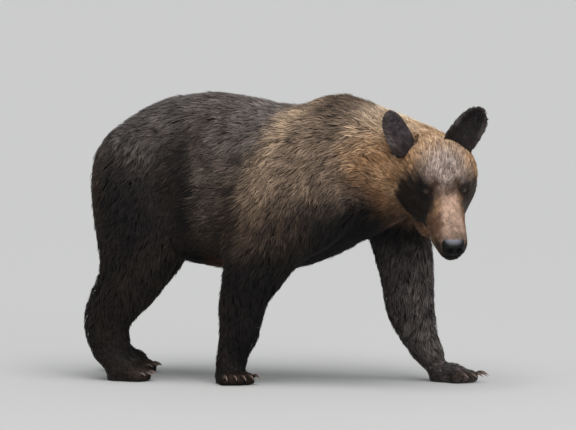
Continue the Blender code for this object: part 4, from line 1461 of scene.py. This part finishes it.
def owners(mesh, label):
    """Every face takes the label of its first point."""
    starts = np.empty(len(mesh.polygons), np.int32)
    mesh.polygons.foreach_get("loop_start", starts)
    vertex_of_loop = np.empty(len(mesh.loops), np.int32)
    mesh.loops.foreach_get("vertex_index", vertex_of_loop)
    return label[vertex_of_loop[starts]]


def make_skin_and_coat():
    """The sunk skin, and a piece of coat for each label, all sown from one row of random draws."""
    skin = fused_skin()
    weights, measures = sunk_skin(skin)
    points, normals, edges = read_points(skin.data), read_normals(skin.data), read_edges(skin.data)
    place = into_head(points)
    near_eye = np.minimum(*[np.linalg.norm(place - EYES[side], axis=1) for side in SIDES])
    measures[:, LENGTH] *= 1.0 - 0.50 * np.exp(-((near_eye / 0.030) ** 2))
    normals = unit(relaxed(normals, edges, 3))
    ways = lie_of_coat(points, normals, weights)
    ways = relaxed(unit(ways), edges, 12)
    ways = unit(ways - normals * (ways * normals).sum(axis=1, keepdims=True))
    root_colour, tip_colour = markings(points, normals)
    sole = (normals[:, 2] < -0.6) & (points[:, 2] < 0.012)
    bare = ((near_eye < 0.0185) | on_pad(place, 0.95) | sole).astype(float)
    fields = (points, normals, ways, measures, root_colour, tip_colour, bare)

    label = coat_labels(points, weights)
    owner = owners(skin.data, label)
    draw = np.random.default_rng(SEED)
    coats = []
    for name in sorted(set(label)):
        sheet, numbers = part_of_skin(skin, owner == name)
        coats.append(coat_of(name, skin, sheet, numbers, fields, draw))

    set_colours(skin.data, mix(root_colour, tip_colour, 0.40 + 0.50 * face_shares(points)[0]))
    return skin, coats, draw


def make_ears(skin, draw):
    """Each ear's skin joins the skin's mesh; its hair fans from the root to the rim, longest there."""
    coats = []
    for node in EARS:
        ear = ear_skin(node)
        points, normals = read_points(ear.data), read_normals(ear.data)
        axis = ear_axis(node)
        middle = points.mean(axis=0)
        face = ear_face(points)
        across = np.cross(axis, face)
        aside = ((points - middle) @ across)[:, None] * across / 0.045
        ways = axis + 0.7 * aside
        ways = unit(ways - normals * (normals * ways).sum(axis=1, keepdims=True))
        height = (points - points[np.argmin(points @ axis)]) @ axis
        rim = np.hypot((points - middle) @ across / 0.047, np.maximum(height - 0.098, 0.0) / 0.055)
        rim = ease(0.62, 0.92, rim)
        measures = np.tile(np.array(EAR), (len(points), 1))
        measures[:, LENGTH] *= 1.0 - 0.20 * rim
        measures[:, DEPTH] *= 1.0 + 0.50 * rim
        fleck = mottle(points, 0.012, 8)
        low = ease(0.055, 0.030, height)
        # painted sheen: the right ear and the back of the left one are tinted violet grey; the left ear's
        # hollow keeps its dark base
        outside = ease(-0.3, 0.5, normals @ BACK_OF_HEAD) if node == "ear_left" else 1.0
        root = mix(np.tile(SOOT, (len(points), 1)), UMBER, 0.6 * rim)
        tip = mix(PITCH, VIOLET_SHEEN, (0.15 + 0.85 * outside) * np.ones(len(points)))
        # the rim is paler as a painted highlight
        tip = mix(tip, mix(GRIZZLE, ASH, 0.3), 0.55 * rim * ease(0.03, 0.07, height))
        tip = mix(tip, UMBER, 0.5 * low) * (1 + 0.3 * fleck)[:, None]
        buried = (height < 0.008).astype(float)
        fields = (points, normals, ways, measures, root, tip, buried)
        coat = coat_of("coat_" + node, ear, ear.data.copy(), np.arange(len(points)), fields, draw)
        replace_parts(coat, node)
        coats.append(coat)
        set_colours(ear.data, mix(root, tip, 0.4))
        join_to(skin, ear)
    return coats


def lay_floor():
    """A pale level floor, far wider than the view."""
    corners = np.array([(-1, -1, 0), (1, -1, 0), (1, 1, 0), (-1, 1, 0)], float) * FLOOR_HALF
    floor = mesh_piece("floor", corners, np.array([(0, 1, 2, 3)]))
    finish = Finish("pale_floor", Specular_IOR_Level=0.2)
    finish.shade(Base_Color=FLOOR_COLOUR, Roughness=0.9)
    floor.data.materials.append(finish.material)


def hang(lamp, falls):
    """Puts a lamp into the scene, shining the given way."""
    lamp.rotation_euler = Vector(falls).to_track_quat("-Z", "Y").to_euler()
    bpy.context.scene.collection.objects.link(lamp)


def light_the_room():
    """An even pale room, a broad soft light from above the near side, and a weak one in front."""
    world = bpy.data.worlds.new("room")
    world.use_nodes = True
    background = world.node_tree.nodes["Background"]
    background.inputs["Color"].default_value = ROOM_COLOUR
    background.inputs["Strength"].default_value = ROOM_STRENGTH
    bpy.context.scene.world = world
    sky = bpy.data.lights.new("sky", "SUN")
    sky.energy = SKY_POWER
    sky.angle = SKY_SPREAD
    hang(bpy.data.objects.new("sky", sky), SKY_FALLS)
    front = bpy.data.lights.new("front", "AREA")
    front.shape = "DISK"
    front.size = FRONT_SIZE
    front.energy = FRONT_POWER
    lamp = bpy.data.objects.new("front", front)
    lamp.location = FRONT_PLACE
    lamp.visible_camera = False
    hang(lamp, Vector(FRONT_AIM) - Vector(FRONT_PLACE))


def aim_camera():
    """Level with the bear, a little ahead of its right side, from far off with a long lens."""
    away = Vector((sin(VIEW_TURN) * cos(VIEW_RISE), -cos(VIEW_TURN) * cos(VIEW_RISE), sin(VIEW_RISE)))
    aim = Vector(HEAD_PLACE) + Vector(AIM_FROM_EYES)
    camera = bpy.data.cameras.new("camera")
    camera.sensor_width = SENSOR
    camera.lens = camera.sensor_width * VIEW_FAR / VIEW_SEEN
    camera.clip_end = VIEW_END
    holder = bpy.data.objects.new("camera", camera)
    holder.location = aim + away * VIEW_FAR
    holder.rotation_euler = (-away).to_track_quat("-Z", "Y").to_euler()
    bpy.context.scene.collection.objects.link(holder)
    bpy.context.scene.camera = holder


def build():
    """The view, the light and the floor first, then every piece of the bear."""
    aim_camera()
    light_the_room()
    lay_floor()
    bpy.context.scene.view_settings.view_transform = "Standard"
    skin, coats, draw = make_skin_and_coat()
    close_lids(skin)
    coats += make_ears(skin, draw)
    skin.data.materials.clear()
    skin.data.materials.append(skin_finish())
    skin.data.shade_smooth()
    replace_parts(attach(skin, "root"), *BODY, *EARS)
    for side in SIDES:
        eyeball(side)
    nose_pad()
    for paw in PAWS:
        for toe in range(1, 6):
            horn(f"claw_{paw.replace('paw_', '_')}_{toe}", paw)


build()
